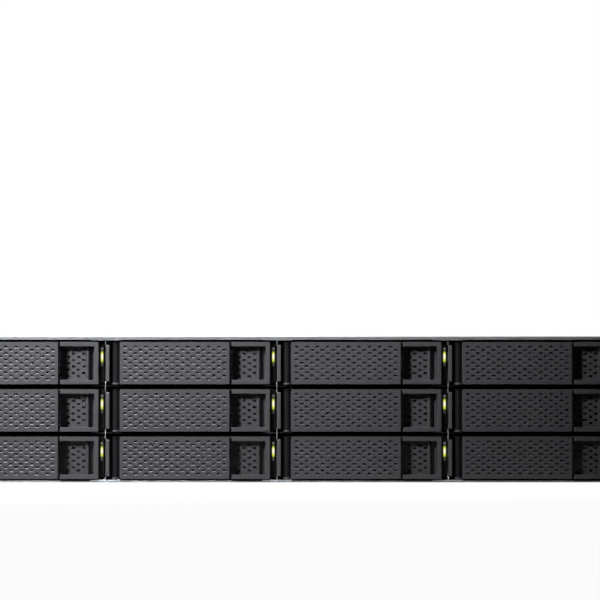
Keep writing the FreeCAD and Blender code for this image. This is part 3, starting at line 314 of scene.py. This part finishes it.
def round_chosen(piece, chosen, width, segments):
    """Round the sharp edges whose two ends pass a test."""
    activate(piece)
    bpy.context.tool_settings.mesh_select_mode = (False, True, False)
    bpy.ops.object.mode_set(mode="EDIT")
    bpy.ops.mesh.select_all(action="DESELECT")
    bpy.ops.mesh.edges_select_sharp(sharpness=SHARP_ANGLE)
    bpy.ops.object.mode_set(mode="OBJECT")
    points = piece.data.vertices
    wanted = []
    for edge in piece.data.edges:
        one, two = [points[index].co for index in edge.vertices]
        wanted.append(edge.select and chosen(one, two))
    select_only(piece, wanted)
    bpy.ops.object.mode_set(mode="EDIT")
    bpy.ops.mesh.bevel(offset=width, segments=segments, affect="EDGES", clamp_overlap=False)
    bpy.ops.object.mode_set(mode="OBJECT")


def smooth_faces(piece, angle=40):
    """Shade round edges smooth and keep flat faces flat."""
    activate(piece)
    bpy.ops.object.shade_smooth_by_angle(angle=math.radians(angle))
    flat = piece.modifiers.new("flat_faces", "WEIGHTED_NORMAL")
    flat.keep_sharp = True
    bpy.ops.object.modifier_apply(modifier="flat_faces")


def merge_points(piece, gap):
    """Merge the points of a mesh that lie closer than a gap."""
    activate(piece)
    bpy.ops.object.mode_set(mode="EDIT")
    bpy.ops.mesh.select_all(action="SELECT")
    bpy.ops.mesh.remove_doubles(threshold=gap)
    bpy.ops.object.mode_set(mode="OBJECT")


def copy_of_node(node, name):
    """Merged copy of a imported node's mesh with its flat faces whole again."""
    mesh = NODES[node].data.copy()
    mesh.materials.clear()
    piece = bpy.data.objects.new(name, mesh)
    bpy.context.scene.collection.objects.link(piece)
    activate(piece)
    bpy.ops.object.mode_set(mode="EDIT")
    bpy.ops.mesh.select_all(action="SELECT")
    bpy.ops.mesh.remove_doubles(threshold=MERGE_GAP)
    bpy.ops.mesh.dissolve_limited(angle_limit=FLAT_ANGLE)
    bpy.ops.object.mode_set(mode="OBJECT")
    return piece


def corners(piece):
    """Lowest and highest corner of the box round a piece."""
    return Vector(piece.bound_box[0]), Vector(piece.bound_box[6])


def loose_parts(piece):
    """Part a piece into its separate bodies."""
    activate(piece)
    bpy.ops.object.mode_set(mode="EDIT")
    bpy.ops.mesh.select_all(action="SELECT")
    bpy.ops.mesh.separate(type="LOOSE")
    bpy.ops.object.mode_set(mode="OBJECT")
    return bpy.context.selected_objects


def moved_copy(piece, name, shift):
    """Another piece with its own mesh, set over by a shift."""
    other = piece.copy()
    other.name = name
    other.data = piece.data.copy()
    other.data.transform(Matrix.Translation(shift))
    bpy.context.scene.collection.objects.link(other)
    return other


def belong(piece, body, slot, *replaced):
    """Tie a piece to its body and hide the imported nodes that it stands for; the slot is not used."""
    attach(piece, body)
    if replaced:
        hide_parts(*replaced)


def finish_piece(piece, material, slot, width, body="root", segments=2, replaced=()):
    """Give a piece its rounded edges, its finish and its body."""
    finish_edges(piece, width, segments)
    piece.data.materials.append(material)
    belong(piece, body, slot, *replaced)


def dress(node, form, material, slot, width, body="root", segments=2):
    """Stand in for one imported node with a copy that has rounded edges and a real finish."""
    piece = copy_of_node(node, node + "_" + form)
    finish_piece(piece, material, slot, width, body, segments, [node])
    return piece


# Edge radii of the sheet, the painted plates and the pieces inside
BASE_EDGE = 0.25 * MM
COVER_EDGE = 0.35 * MM
SHEET_EDGE = 0.2 * MM
WALL_EDGE = 0.12 * MM
EAR_EDGE = 0.5 * MM
BUTTON_EDGE = 0.4 * MM
BOARD_EDGE = 0.2 * MM
SOCKET_EDGE = 0.25 * MM
FIN_EDGE = 0.15 * MM
FAN_FRAME_EDGE = 0.4 * MM
BLADE_EDGE = 0.2 * MM
LID_ROLL = 0.62 * MM
LID_UNDER = 0.3 * MM
BRACE_ROLL = 0.42 * MM
BRACE_UNDER = 0.2 * MM
ROLL_END = 0.1 * MM


def dress_case():
    """Folded sheet of the case and the drive cage, with the rack ears and the power button."""
    dress("chassis_base", "sheet", SHADE_DARKENED_BASE_ZINC, "case_steel", BASE_EDGE)
    dress("rear_cover", "sheet", CASE_ZINC, "case_steel", COVER_EDGE, segments=3)
    dress("rear_panel", "sheet", CASE_ZINC, "case_steel", SHEET_EDGE)
    dress("bay_walls", "sheet", ZINC, "galvanised_sheet", WALL_EDGE)
    dress("psu_cage", "sheet", ZINC, "galvanised_sheet", SHEET_EDGE)
    for side in ("left", "right"):
        dress("rack_ear_" + side, "plate", EAR_BLACK, "ear_paint", EAR_EDGE, segments=3)
    dress("power_button", "cap", BUTTON_GREY, "button_plastic", BUTTON_EDGE, "power_button", segments=3)
    dress_rolled("front_cover", "case_steel", LID_ROLL, LID_UNDER)
    dress_rolled("cage_brace", "galvanised_sheet", BRACE_ROLL, BRACE_UNDER)


def dress_rolled(node, slot, roll, under):
    """Sheet with a rolled front edge, whose upper turn shows the bright ceiling as a line of light."""
    sheet = copy_of_node(node, node + "_sheet")
    low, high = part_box(node)
    level = high.z - SLIVER
    near = low.y + SLIVER

    def upper_front(one, two):
        return max(one.y, two.y) < near and min(one.z, two.z) > level

    def lower_front(one, two):
        return max(one.y, two.y) < near and max(one.z, two.z) < level

    round_chosen(sheet, upper_front, roll, segments=6)
    round_chosen(sheet, lower_front, under, segments=4)
    finish_edges(sheet, ROLL_END, segments=1)
    merge_points(sheet, SLIVER)
    smooth_faces(sheet)
    sheet.data.materials.append(CASE_ZINC)
    belong(sheet, "root", slot, node)


def dress_inside():
    """Boards, fans and cooling inside the case."""
    dress("backplane", "board", BOARD_GREEN, "circuit_board", BOARD_EDGE)
    dress("drive_sockets", "moulding", BLACK, "socket_plastic", SOCKET_EDGE)
    dress("mainboard", "board", BOARD_GREEN, "circuit_board", BOARD_EDGE)
    dress("memory_modules", "board", BOARD_GREEN, "circuit_board", BOARD_EDGE)
    dress("cpu_heatsink", "fins", MILLED_ALLOY, "heatsink_alloy", FIN_EDGE)
    dress("fan_frames", "moulding", FAN_BLACK, "fan_plastic", FAN_FRAME_EDGE)
    for index in (1, 2, 3):
        name = "fan_rotor_%d" % index
        dress(name, "moulding", FAN_BLACK, "fan_plastic", BLADE_EDGE, name)


# Small pieces that are modelled here

def new_box(name, low, high):
    """Box between two corners, as a start for a piece."""
    bpy.ops.object.select_all(action="DESELECT")
    bpy.ops.mesh.primitive_cube_add(size=1)
    piece = bpy.context.active_object
    piece.name = name
    span = Vector(high) - Vector(low)
    piece.data.transform(Matrix.Translation(Vector(low) + span / 2) @ Matrix.Diagonal((*span, 1)))
    return piece


def joined(pieces, name):
    """One piece from several."""
    activate(pieces[0])
    for piece in pieces:
        piece.select_set(True)
    bpy.ops.object.join()
    pieces[0].name = name
    return pieces[0]


SCREW_SIDES = 32
SCREW_HEAD = 2.9 * MM
SCREW_PROUD = 1.1 * MM
SCREW_DOME = 0.6 * SCREW_PROUD
SCREW_RIM = 0.9 * SCREW_HEAD
SCREW_SLOT = (3.4 * MM, 0.8 * MM)
SLOT_FLOOR = 0.3 * SCREW_PROUD
SCREW_DROP = 4.5 * MM
COVER_SCREWS = [-190 * MM, -60 * MM, 40 * MM, 200 * MM]
PANEL_SCREWS = [-205 * MM, -90 * MM, 10 * MM, 100 * MM]


def make_screw(name, turn):
    """Pan head screw with a cross recess, turned from facing up to where it faces."""
    bpy.ops.object.select_all(action="DESELECT")
    bpy.ops.mesh.primitive_cylinder_add(vertices=SCREW_SIDES, radius=SCREW_HEAD, depth=2 * SCREW_PROUD)
    screw = bpy.context.active_object
    screw.name = name
    long, wide = SCREW_SLOT[0] / 2, SCREW_SLOT[1] / 2
    for across, along in ((long, wide), (wide, long)):
        bar = new_box("slot", (-across, -along, SLOT_FLOOR), (across, along, 2 * SCREW_PROUD))
        slot = screw.modifiers.new("slot", "BOOLEAN")
        slot.operation = "DIFFERENCE"
        slot.object = bar
        activate(screw)
        bpy.ops.object.modifier_apply(modifier="slot")
        bpy.data.objects.remove(bar)

    def on_rim(one, two):
        return min(one.xy.length, two.xy.length) > SCREW_RIM

    round_chosen(screw, on_rim, SCREW_DOME, segments=4)
    smooth_faces(screw)
    screw.data.materials.append(NICKEL)
    screw.data.transform(turn)
    return screw


def place_screws(screw, name, slot, places):
    """Copies of a screw, each seated at its own place."""
    for number, place in enumerate(places, 1):
        belong(moved_copy(screw, "%s_%d" % (name, number), Vector(place)), "root", slot)
    bpy.data.objects.remove(screw)


def fasten_case():
    """Screws of the covers along the sides and of the rear panel."""
    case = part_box("chassis_base")
    to_left = Matrix.Rotation(math.radians(-90), 4, "Y")
    to_right = Matrix.Rotation(math.radians(90), 4, "Y")
    to_back = Matrix.Rotation(math.radians(-90), 4, "X")
    height = TOP - SCREW_DROP
    for side, x, turn in (("left", case[0].x, to_left), ("right", case[1].x, to_right)):
        screw = make_screw("cover_screw", turn)
        place_screws(screw, "cover_screw_" + side, "case_steel", [(x, y, height) for y in COVER_SCREWS])
    screw = make_screw("panel_screw", to_back)
    place_screws(screw, "panel_screw", "case_steel", [(x, BACK, height) for x in PANEL_SCREWS])


INLET_ACROSS = 12.0 * MM
INLET_WIDE = 27.6 * MM
INLET_HIGH = 20.0 * MM
INLET_DEEP = 16.0 * MM
INLET_CORNER = 5.0 * MM
INLET_SETBACK = 0.3 * MM
INLET_WALL = 1.3 * MM
INLET_FLOOR = 1.5 * MM
INLET_EDGE = 0.25 * MM
FACING_BACK = 0.9
PIN_ROOT = 1.0 * MM
PIN_EDGE = 0.5 * MM
PIN_SIZE = (2.0 * MM, 14.0 * MM, 4.0 * MM)
PIN_PLACES = [(-7 * MM, -2 * MM), (0, 2 * MM), (7 * MM, -2 * MM)]


def make_inlet(place):
    """Mains inlet of one power supply: a moulded shroud with keyed corners round three flat pins."""
    low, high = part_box("psu_" + place)
    across = (low.x + high.x) / 2 + INLET_ACROSS
    middle = (low.z + high.z) / 2
    half_wide, half_high = INLET_WIDE / 2, INLET_HIGH / 2
    shroud = new_box("mains_shroud_" + place, (across - half_wide, BACK - INLET_DEEP, middle - half_high),
                     (across + half_wide, BACK - INLET_SETBACK, middle + half_high))

    def upper_corner(one, two):
        return min(one.z, two.z) > middle and abs(one.y - two.y) > MM

    round_chosen(shroud, upper_corner, INLET_CORNER, segments=1)
    activate(shroud)
    bpy.context.tool_settings.mesh_select_mode = (False, False, True)
    select_only(shroud)
    for face in shroud.data.polygons:
        face.select = face.normal.y > FACING_BACK
    bpy.ops.object.mode_set(mode="EDIT")
    bpy.ops.mesh.inset(thickness=INLET_WALL)
    bpy.ops.mesh.extrude_region_move(TRANSFORM_OT_translate={"value": (0, INLET_FLOOR - INLET_DEEP, 0)})
    bpy.ops.object.mode_set(mode="OBJECT")
    finish_piece(shroud, BLACK, "socket_plastic", INLET_EDGE, "psu_" + place)
    wide, long, tall = PIN_SIZE
    root = BACK - INLET_DEEP + PIN_ROOT
    pins = []
    for pin_x, pin_z in PIN_PLACES:
        x, z = across + pin_x, middle + pin_z
        pins.append(new_box("pin", (x - wide / 2, root, z - tall / 2),
                            (x + wide / 2, root + long, z + tall / 2)))
    pins = joined(pins, "mains_pins_" + place)
    finish_piece(pins, NICKEL, "port_shell", PIN_EDGE, "psu_" + place, segments=3)


PSU_EDGE = 0.3 * MM
HANDLE_FROM = 0.4 * MM


def dress_psu(place):
    """Power supply with a black pull handle and its green release tab."""
    psu = dress("psu_" + place, "housing", CAST_ALLOY, "psu_alloy", PSU_EDGE, "psu_" + place)
    psu.data.materials.append(BLACK)
    for face in psu.data.polygons:
        if face.center.y > BACK + HANDLE_FROM:
            face.material_index = 1
    make_inlet(place)
    dress("psu_latch_" + place, "tab", LATCH_GREEN, "latch_plastic", PSU_EDGE, "psu_latch_" + place)


SHELL_EDGE = 0.2 * MM
NETWORK_TALL = 10 * MM
PORT_WALL = 1.8 * MM
NETWORK_DEEP = 12.0 * MM
INSERT_SETBACK = 5 * MM
INSERT_EDGE = 0.3 * MM
CONTACTS = 8
CONTACT_PITCH = 1.02 * MM
WIRE_HALF = 0.22 * MM
WIRE_SPAN = (6 * MM, 1.5 * MM)
WIRE_BELOW = (2.6 * MM, 2.1 * MM)
WIRE_EDGE = 0.1 * MM
WINDOW_WIDE = 2.2 * MM
WINDOW_ASIDE = 1.1 * MM
WINDOW_BELOW = (1.45 * MM, 0.35 * MM)
WINDOW_DEEP = 1.0 * MM
WINDOW_PROUD = 0.15 * MM
WINDOW_EDGE = 0.15 * MM


def fill_network_port(shell, number):
    """Black insert with eight sprung contacts and two lamp windows."""
    low, high = corners(shell)
    middle = (low.x + high.x) / 2
    back = high.y - NETWORK_DEEP
    roof = high.z - PORT_WALL
    insert = new_box("network_insert_%d" % number, (low.x + PORT_WALL, back, low.z + PORT_WALL),
                     (high.x - PORT_WALL, high.y - INSERT_SETBACK, roof))
    finish_piece(insert, BLACK, "socket_plastic", INSERT_EDGE)
    wires = []
    for index in range(CONTACTS):
        x = middle + (index - (CONTACTS - 1) / 2) * CONTACT_PITCH
        wires.append(new_box("wire", (x - WIRE_HALF, high.y - WIRE_SPAN[0], roof - WIRE_BELOW[0]),
                             (x + WIRE_HALF, high.y - WIRE_SPAN[1], roof - WIRE_BELOW[1])))
    wires = joined(wires, "network_contacts_%d" % number)
    finish_piece(wires, GOLD, "port_shell", WIRE_EDGE)
    left = low.x + WINDOW_ASIDE
    right = high.x - WINDOW_ASIDE - WINDOW_WIDE
    for side, x, colour in (("left", left, LAMP_GREEN), ("right", right, LAMP_AMBER)):
        lamp = new_box("network_lamp_%s_%d" % (side, number),
                       (x, high.y - WINDOW_DEEP, high.z - WINDOW_BELOW[0]),
                       (x + WINDOW_WIDE, high.y + WINDOW_PROUD, high.z - WINDOW_BELOW[1]))
        finish_piece(lamp, colour, "socket_plastic", WINDOW_EDGE)


USB_DEEP = 10.0 * MM
TONGUE_ASIDE = 2.4 * MM
TONGUE_SETBACK = 1.2 * MM
TONGUE_THICK = 1.7 * MM
TONGUE_EDGE = 0.3 * MM
USB_CONTACTS = 4
USB_PITCH = 2.2 * MM
STRIP_HALF = 0.5 * MM
STRIP_SPAN = (8 * MM, 2.5 * MM)
STRIP_SINK = 0.05 * MM
STRIP_PROUD = 0.15 * MM
STRIP_EDGE = 0.05 * MM


def fill_usb_port(shell, number):
    """Tongue of a USB socket with its four contacts."""
    low, high = corners(shell)
    middle = (low + high) / 2
    tongue = new_box("usb_tongue_%d" % number, (low.x + TONGUE_ASIDE, high.y - USB_DEEP, middle.z),
                     (high.x - TONGUE_ASIDE, high.y - TONGUE_SETBACK, middle.z + TONGUE_THICK))
    finish_piece(tongue, USB_BLUE, "socket_plastic", TONGUE_EDGE)
    strips = []
    for index in range(USB_CONTACTS):
        x = middle.x + (index - (USB_CONTACTS - 1) / 2) * USB_PITCH
        strips.append(new_box("strip", (x - STRIP_HALF, high.y - STRIP_SPAN[0], middle.z - STRIP_PROUD),
                              (x + STRIP_HALF, high.y - STRIP_SPAN[1], middle.z + STRIP_SINK)))
    strips = joined(strips, "usb_contacts_%d" % number)
    finish_piece(strips, GOLD, "port_shell", STRIP_EDGE)


def dress_ports():
    """Plated port shells, each with its insert."""
    whole = copy_of_node("rear_ports", "rear_port_shells")
    finish_edges(whole, SHELL_EDGE)
    whole.data.materials.append(NICKEL)
    shells = sorted(loose_parts(whole), key=lambda shell: corners(shell)[0].x)
    for number, shell in enumerate(shells, 1):
        shell.name = "rear_port_shell_%d" % number
        if shell.dimensions.z > NETWORK_TALL:
            fill_network_port(shell, number)
        else:
            fill_usb_port(shell, number)
        belong(shell, "root", "port_shell", *(["rear_ports"] if number == 1 else []))


def dress_rear():
    """Power supplies, ports and screws."""
    for place in ("lower", "upper"):
        dress_psu(place)
    dress_ports()
    fasten_case()


# Parts of a tray's front: across from the bay's left side, back from the front, up from the underside
POCKET_FROM = 68.0 * MM
POCKET_TO = 99.9 * MM
POCKET_DEEP = 13.4 * MM
STRIP_TO = 2.6 * MM
STRIP_DEEP = 3.05 * MM
# Where the lower hinge lug's front is painted grey as a painted glint of light on its top edge
LUG_GLINT_FROM = 3.9 * MM
LUG_GLINT_TO = 8.7 * MM
LUG_GLINT_DEEP = 6.8 * MM
LUG_GLINT_HIGH = 1.3 * MM
FRAME_DEEP = 5.2 * MM
FRAME_END = 76.2 * MM
FRAME_END_FIT = 0.1 * MM
SHORT_EDGE = 1.0 * MM

# Chamfer and radii on a tray's front
STRIP_CHAMFER = 0.5 * MM
STRIP_ROUND = 0.3 * MM
FRAME_END_ROUND = 0.6 * MM
FRONT_ROUND = 0.22 * MM


def colour_tray(piece):
    """Charcoal finger pocket and grey edge strip on a black carrier; the lower hinge lug's front is painted
    grey as a painted glint.
    """
    for material in (BLACK, CHARCOAL, STRIP_AND_GLINT_GREY):
        piece.data.materials.append(material)
    for face in piece.data.polygons:
        across = face.center.x - BAY_LEFT
        deep = face.center.y - FRONT
        if POCKET_FROM < across < POCKET_TO and deep < POCKET_DEEP:
            face.material_index = 1
        elif across < STRIP_TO and deep < STRIP_DEEP:
            face.material_index = 2
        # Painted glint: the black lower lug's front takes the strip's grey, standing in for light caught on
        # its top edge
        elif LUG_GLINT_FROM < across < LUG_GLINT_TO and deep < LUG_GLINT_DEEP and face.center.z - FIRST_TRAY[0].z < LUG_GLINT_HIGH:
            face.material_index = 2


def round_tray(tray):
    """Round the edge strip fully and the other front edges a little; the pocket's inside stays crisp."""

    def on_strip(one, two):
        return max(one.x, two.x) - BAY_LEFT < STRIP_TO and max(one.y, two.y) - FRONT < STRIP_DEEP

    def in_front(one, two):
        return max(one.y, two.y) - FRONT < FRAME_DEEP and (one - two).length > SHORT_EDGE

    def at_frame_end(one, two):
        off = max(abs(end.x - BAY_LEFT - FRAME_END) for end in (one, two))
        upright = abs(one.z - two.z) > SHORT_EDGE
        return in_front(one, two) and upright and off < FRAME_END_FIT

    strip_top = max(point.co.z for point in tray.data.vertices if on_strip(point.co, point.co))

    def on_strip_top(one, two):
        level = abs(one.y - two.y) < SLIVER
        return on_strip(one, two) and min(one.z, two.z) > strip_top - SLIVER and level

    round_chosen(tray, on_strip_top, STRIP_CHAMFER, segments=1)
    round_chosen(tray, on_strip, STRIP_ROUND, segments=3)
    round_chosen(tray, at_frame_end, FRAME_END_ROUND, segments=4)
    round_chosen(tray, in_front, FRONT_ROUND, segments=3)
    smooth_faces(tray)


# Grille of a lever: depth of each row of lip corners behind the face, and how far it is raised
LEVER_SKIN = 1.0 * MM
LIP_PROFILE = [(0.44 * MM, 0.36 * MM), (LEVER_SKIN, 0.2 * MM)]
LIP_FACING = 0.5
HOLE_SIDES = (0.4 * MM, 2.0 * MM)
LONGEST_HOLE_EDGE = 3.0 * MM
LEVER_ROUND = 0.25 * MM
LEVER_SMOOTH = 28
PLATE_FROM = 8.6 * MM
PIPE_EDGE = 0.25 * MM
DRIVE_EDGE = 0.5 * MM


def lower_corners(piece, level):
    """Select the lower corners of the small holes that cross one depth."""
    points = piece.data.vertices
    select_only(piece)
    for edge in piece.data.edges:
        low, high = sorted((points[index] for index in edge.vertices), key=lambda point: point.co.z)
        run = high.co - low.co
        flat = max(abs(low.co.y - level), abs(high.co.y - level)) < SLIVER
        if flat and abs(run.x) < SLIVER and HOLE_SIDES[0] < run.z < HOLE_SIDES[1]:
            low.select = True


def raise_lips(lever):
    """Raise the lower edge of every grille hole to a sloping lip, which catches the light from above.
    The lips' borders are kept sharp, so that smooth shading doesn't spread over them."""
    face = min(point.co.y for point in lever.data.vertices)
    activate(lever)
    bpy.context.tool_settings.mesh_select_mode = (True, False, False)
    for depth, lift in LIP_PROFILE:
        bpy.ops.object.mode_set(mode="EDIT")
        if depth < LEVER_SKIN:
            bpy.ops.mesh.select_all(action="SELECT")
            bpy.ops.mesh.bisect(plane_co=(0, face + depth, 0), plane_no=(0, 1, 0))
        bpy.ops.object.mode_set(mode="OBJECT")
        lower_corners(lever, face + depth)
        bpy.ops.object.mode_set(mode="EDIT")
        bpy.ops.transform.translate(value=(0, 0, lift))
        bpy.ops.object.mode_set(mode="OBJECT")
    bpy.context.tool_settings.mesh_select_mode = (False, False, True)
    select_only(lever)
    for lip in lever.data.polygons:
        lip.select = lip.normal.z > LIP_FACING and lip.normal.y < -LIP_FACING
    bpy.ops.object.mode_set(mode="EDIT")
    bpy.ops.mesh.mark_sharp()
    bpy.ops.object.mode_set(mode="OBJECT")


def colour_lever(piece):
    """Charcoal grille plate on a darker hinge barrel."""
    for material in (CHARCOAL, HINGE_GREY):
        piece.data.materials.append(material)
    for face in piece.data.polygons:
        if face.center.x - BAY_LEFT < PLATE_FROM:
            face.material_index = 1


def split_light_pipe(tray):
    """Part the light pipe, which is a solid of its own, from the tray that holds it."""
    parts = sorted(loose_parts(tray), key=lambda part: part.dimensions.x)
    return parts[-1], parts[0]


def dress_bays():
    """Trays, light pipes, levers and drives: each is made for the first bay and copied to the others."""
    first = bay(1, 1)
    tray, pipe = split_light_pipe(copy_of_node("tray_" + first, "tray_master"))
    round_tray(tray)
    colour_tray(tray)
    finish_edges(pipe, PIPE_EDGE)
    low, high = corners(pipe)
    pipe.data.materials.append(lit_acrylic("lit_acrylic", low.x, high.x - low.x, low.z, high.z - low.z))
    lever = copy_of_node("lever_" + first, "lever_master")
    raise_lips(lever)
    round_chosen(lever, lambda one, two: (one - two).length > LONGEST_HOLE_EDGE, LEVER_ROUND, segments=4)
    smooth_faces(lever, LEVER_SMOOTH)
    colour_lever(lever)
    drive = copy_of_node("drive_" + first, "drive_master")
    finish_edges(drive, DRIVE_EDGE, segments=3)
    drive.data.materials.append(CAST_ALLOY)
    for row, column in BAYS:
        name = bay(row, column)
        body = "tray_" + name
        lever_body = "lever_" + name
        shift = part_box("tray_" + name)[0] - FIRST_TRAY[0]
        belong(moved_copy(tray, body + "_moulding", shift), body, "tray_plastic", body)
        belong(moved_copy(pipe, "light_pipe_" + name, shift), body, "tray_plastic")
        belong(moved_copy(lever, lever_body + "_moulding", shift), lever_body, "lever_plastic", lever_body)
        belong(moved_copy(drive, "drive_%s_casting" % name, shift), body, "drive_alloy", "drive_" + name)
    for master in (tray, pipe, lever, drive):
        bpy.data.objects.remove(master)


# Studio

# The picture's width, what one pixel spans at the front, and the pixel where the middle of the front lies
FRAME_PIXELS = 600
PIXEL = 0.6047 * MM
PHOTO_CENTRE = (276.9, 409.2)
CAMERA_AWAY = 2.0
CAMERA_REACH = 50.0

# Floor: how far before the front its mirror image fades, and how bright it shows
FLOOR_SIZE = 12
FLOOR_DROP = 0.05 * MM
MIRROR_FROM = FRONT - 80 * MM
MIRROR_TO = FRONT - 10 * MM
MIRROR_STRENGTH = 0.5
DARKEST = 0.01
FLOOR_GLOW = 0.96
FLOOR_PALE = "#b0b0b0"
FLOOR_CARD = "#262626"
WHITE = "#ffffff"

# World: where the sweep in reflections goes dark towards the camera, and the little light that it sheds
SWEEP_DARK = -0.85
SWEEP_WHITE = -0.35
SWEEP_LEVEL = 0.5
WORLD_FILL = 0.003


def set_camera():
    """Straight on, level with the middle of the case, from far enough that depth hardly shows."""
    middle = Vector((0, FRONT, TOP / 2))
    half = FRAME_PIXELS / 2
    aim = middle + Vector(((half - PHOTO_CENTRE[0]) * PIXEL, 0, (PHOTO_CENTRE[1] - half) * PIXEL))
    data = bpy.data.cameras.new("camera")
    camera = bpy.data.objects.new("camera", data)
    bpy.context.scene.collection.objects.link(camera)
    camera.location = middle - Vector((0, CAMERA_AWAY, 0))
    line = aim - camera.location
    camera.rotation_euler = line.to_track_quat("-Z", "Y").to_euler()
    data.lens = data.sensor_width * line.length / (FRAME_PIXELS * PIXEL)
    data.clip_end = CAMERA_REACH
    bpy.context.scene.camera = camera


def set_floor():
    """Pale floor that shows white to the eye and in reflections and keeps the object's shadow.
    To diffuse rays it is dark, like a black card before the case, so that the pockets stay deep."""
    bpy.ops.object.select_all(action="DESELECT")
    bpy.ops.mesh.primitive_plane_add(size=FLOOR_SIZE, location=(0, 0, -FLOOR_DROP))
    floor = bpy.context.active_object
    floor.name = "floor"
    material = bpy.data.materials.new("studio_floor")
    material.use_nodes = True
    tree = material.node_tree
    tree.nodes.clear()
    seen = add_node(tree, "ShaderNodeLightPath")
    spot = add_node(tree, "ShaderNodeNewGeometry")
    axes = add_node(tree, "ShaderNodeSeparateXYZ", None, {"Vector": spot.outputs["Position"]})
    near = add_node(tree, "ShaderNodeMapRange",
                    {"interpolation_type": "SMOOTHSTEP", "From Min": MIRROR_FROM, "From Max": MIRROR_TO,
                     "To Min": DARKEST, "To Max": MIRROR_STRENGTH}, {"Value": axes.outputs["Y"]})
    mirrored = add_node(tree, "ShaderNodeMath", {"operation": "MULTIPLY"},
                        {0: seen.outputs["Is Glossy Ray"], 1: near.outputs[0]})
    clear = add_node(tree, "ShaderNodeMath", {"operation": "MAXIMUM"},
                     {0: seen.outputs["Is Camera Ray"], 1: seen.outputs["Is Transmission Ray"]})
    shown = add_node(tree, "ShaderNodeMath", {"operation": "MAXIMUM"},
                     {0: clear.outputs[0], 1: mirrored.outputs[0]})
    lift = add_node(tree, "ShaderNodeMath", {"operation": "MULTIPLY", 1: FLOOR_GLOW}, {0: shown.outputs[0]})
    tone = add_node(tree, "ShaderNodeMix",
                    {"data_type": "RGBA", COLOUR_A: linear(FLOOR_PALE), COLOUR_B: linear(FLOOR_CARD)},
                    {"Factor": seen.outputs["Is Diffuse Ray"]})
    paint = add_node(tree, "ShaderNodeBsdfDiffuse", None, {"Color": tone.outputs[COLOUR_OUT]})
    glow = add_node(tree, "ShaderNodeEmission", {"Color": linear(WHITE)}, {"Strength": lift.outputs[0]})
    both = add_node(tree, "ShaderNodeAddShader", None, {0: paint.outputs[0], 1: glow.outputs[0]})
    add_node(tree, "ShaderNodeOutputMaterial", None, {"Surface": both.outputs[0]})
    floor.data.materials.append(material)


def set_world():
    """White all round to the eye; reflections see a white sweep that darkens towards the camera."""
    world = bpy.data.worlds.new("studio")
    world.use_nodes = True
    bpy.context.scene.world = world
    tree = world.node_tree
    tree.nodes.clear()
    seen = add_node(tree, "ShaderNodeLightPath")
    sharp = add_node(tree, "ShaderNodeMath", {"operation": "MAXIMUM"},
                     {0: seen.outputs["Is Glossy Ray"], 1: seen.outputs["Is Transmission Ray"]})
    way = add_node(tree, "ShaderNodeTexCoord")
    axes = add_node(tree, "ShaderNodeSeparateXYZ", None, {"Vector": way.outputs["Generated"]})
    sweep = add_node(tree, "ShaderNodeMapRange",
                     {"interpolation_type": "SMOOTHSTEP", "From Min": SWEEP_DARK, "From Max": SWEEP_WHITE,
                      "To Min": DARKEST, "To Max": 1.0}, {"Value": axes.outputs["Y"]})
    ceiling = add_node(tree, "ShaderNodeMapRange", {"To Min": SWEEP_LEVEL}, {"Value": axes.outputs["Z"]})
    reflected = add_node(tree, "ShaderNodeMath", {"operation": "MULTIPLY"},
                         {0: sweep.outputs[0], 1: ceiling.outputs[0]})
    mirrored = add_node(tree, "ShaderNodeMix", {"data_type": "FLOAT", VALUE_A: WORLD_FILL},
                        {"Factor": sharp.outputs[0], VALUE_B: reflected.outputs[0]})
    strength = add_node(tree, "ShaderNodeMix", {"data_type": "FLOAT", VALUE_B: 1.0},
                        {"Factor": seen.outputs["Is Camera Ray"], VALUE_A: mirrored.outputs[0]})
    light = add_node(tree, "ShaderNodeBackground", {"Color": linear(WHITE)},
                     {"Strength": strength.outputs[0]})
    add_node(tree, "ShaderNodeOutputWorld", None, {"Surface": light.outputs[0]})


# Lamps: where each stands and aims, in metres, and its power in watts
KEY_PLACE = (-0.86, FRONT - 1.07, 0.585)
KEY_AIM = (-0.19, FRONT, 0.312)
KEY_WATTS = 300
KEY_SHAPE = {"spot_size": math.radians(21.2), "spot_blend": 1.0, "shadow_soft_size": 0.26}
TOP_PLACE = (-0.2, FRONT - 0.14, 0.65)
TOP_AIM = (-0.2, FRONT, 0.05)
TOP_WATTS = 1.1
TOP_SHAPE = {"shape": "RECTANGLE", "size": 0.28, "size_y": 0.1, "spread": math.radians(80)}
REAR_PLACE = (0.75, 1.5, 0.6)
REAR_AIM = (0, 0.2, 0.04)
REAR_WATTS = 2.2
REAR_SHAPE = {"shape": "RECTANGLE", "size": 0.9, "size_y": 0.6}


def add_lamp(name, kind, place, aim, watts, settings):
    """Lamp at one place that points at another."""
    data = bpy.data.lights.new(name, kind)
    data.energy = watts
    for key, value in settings.items():
        setattr(data, key, value)
    lamp = bpy.data.objects.new(name, data)
    lamp.location = place
    lamp.rotation_euler = (Vector(aim) - Vector(place)).to_track_quat("-Z", "Y").to_euler()
    bpy.context.scene.collection.objects.link(lamp)


def set_lamps():
    """A key spot from the front left that fades to the right, a softbox over the front and a rear fill."""
    add_lamp("key", "SPOT", KEY_PLACE, KEY_AIM, KEY_WATTS, KEY_SHAPE)
    add_lamp("top_softbox", "AREA", TOP_PLACE, TOP_AIM, TOP_WATTS, TOP_SHAPE)
    add_lamp("rear_softbox", "AREA", REAR_PLACE, REAR_AIM, REAR_WATTS, REAR_SHAPE)


dress_case()
dress_inside()
dress_rear()
dress_bays()
set_camera()
set_floor()
set_world()
set_lamps()
bpy.context.scene.view_settings.view_transform = "Standard"
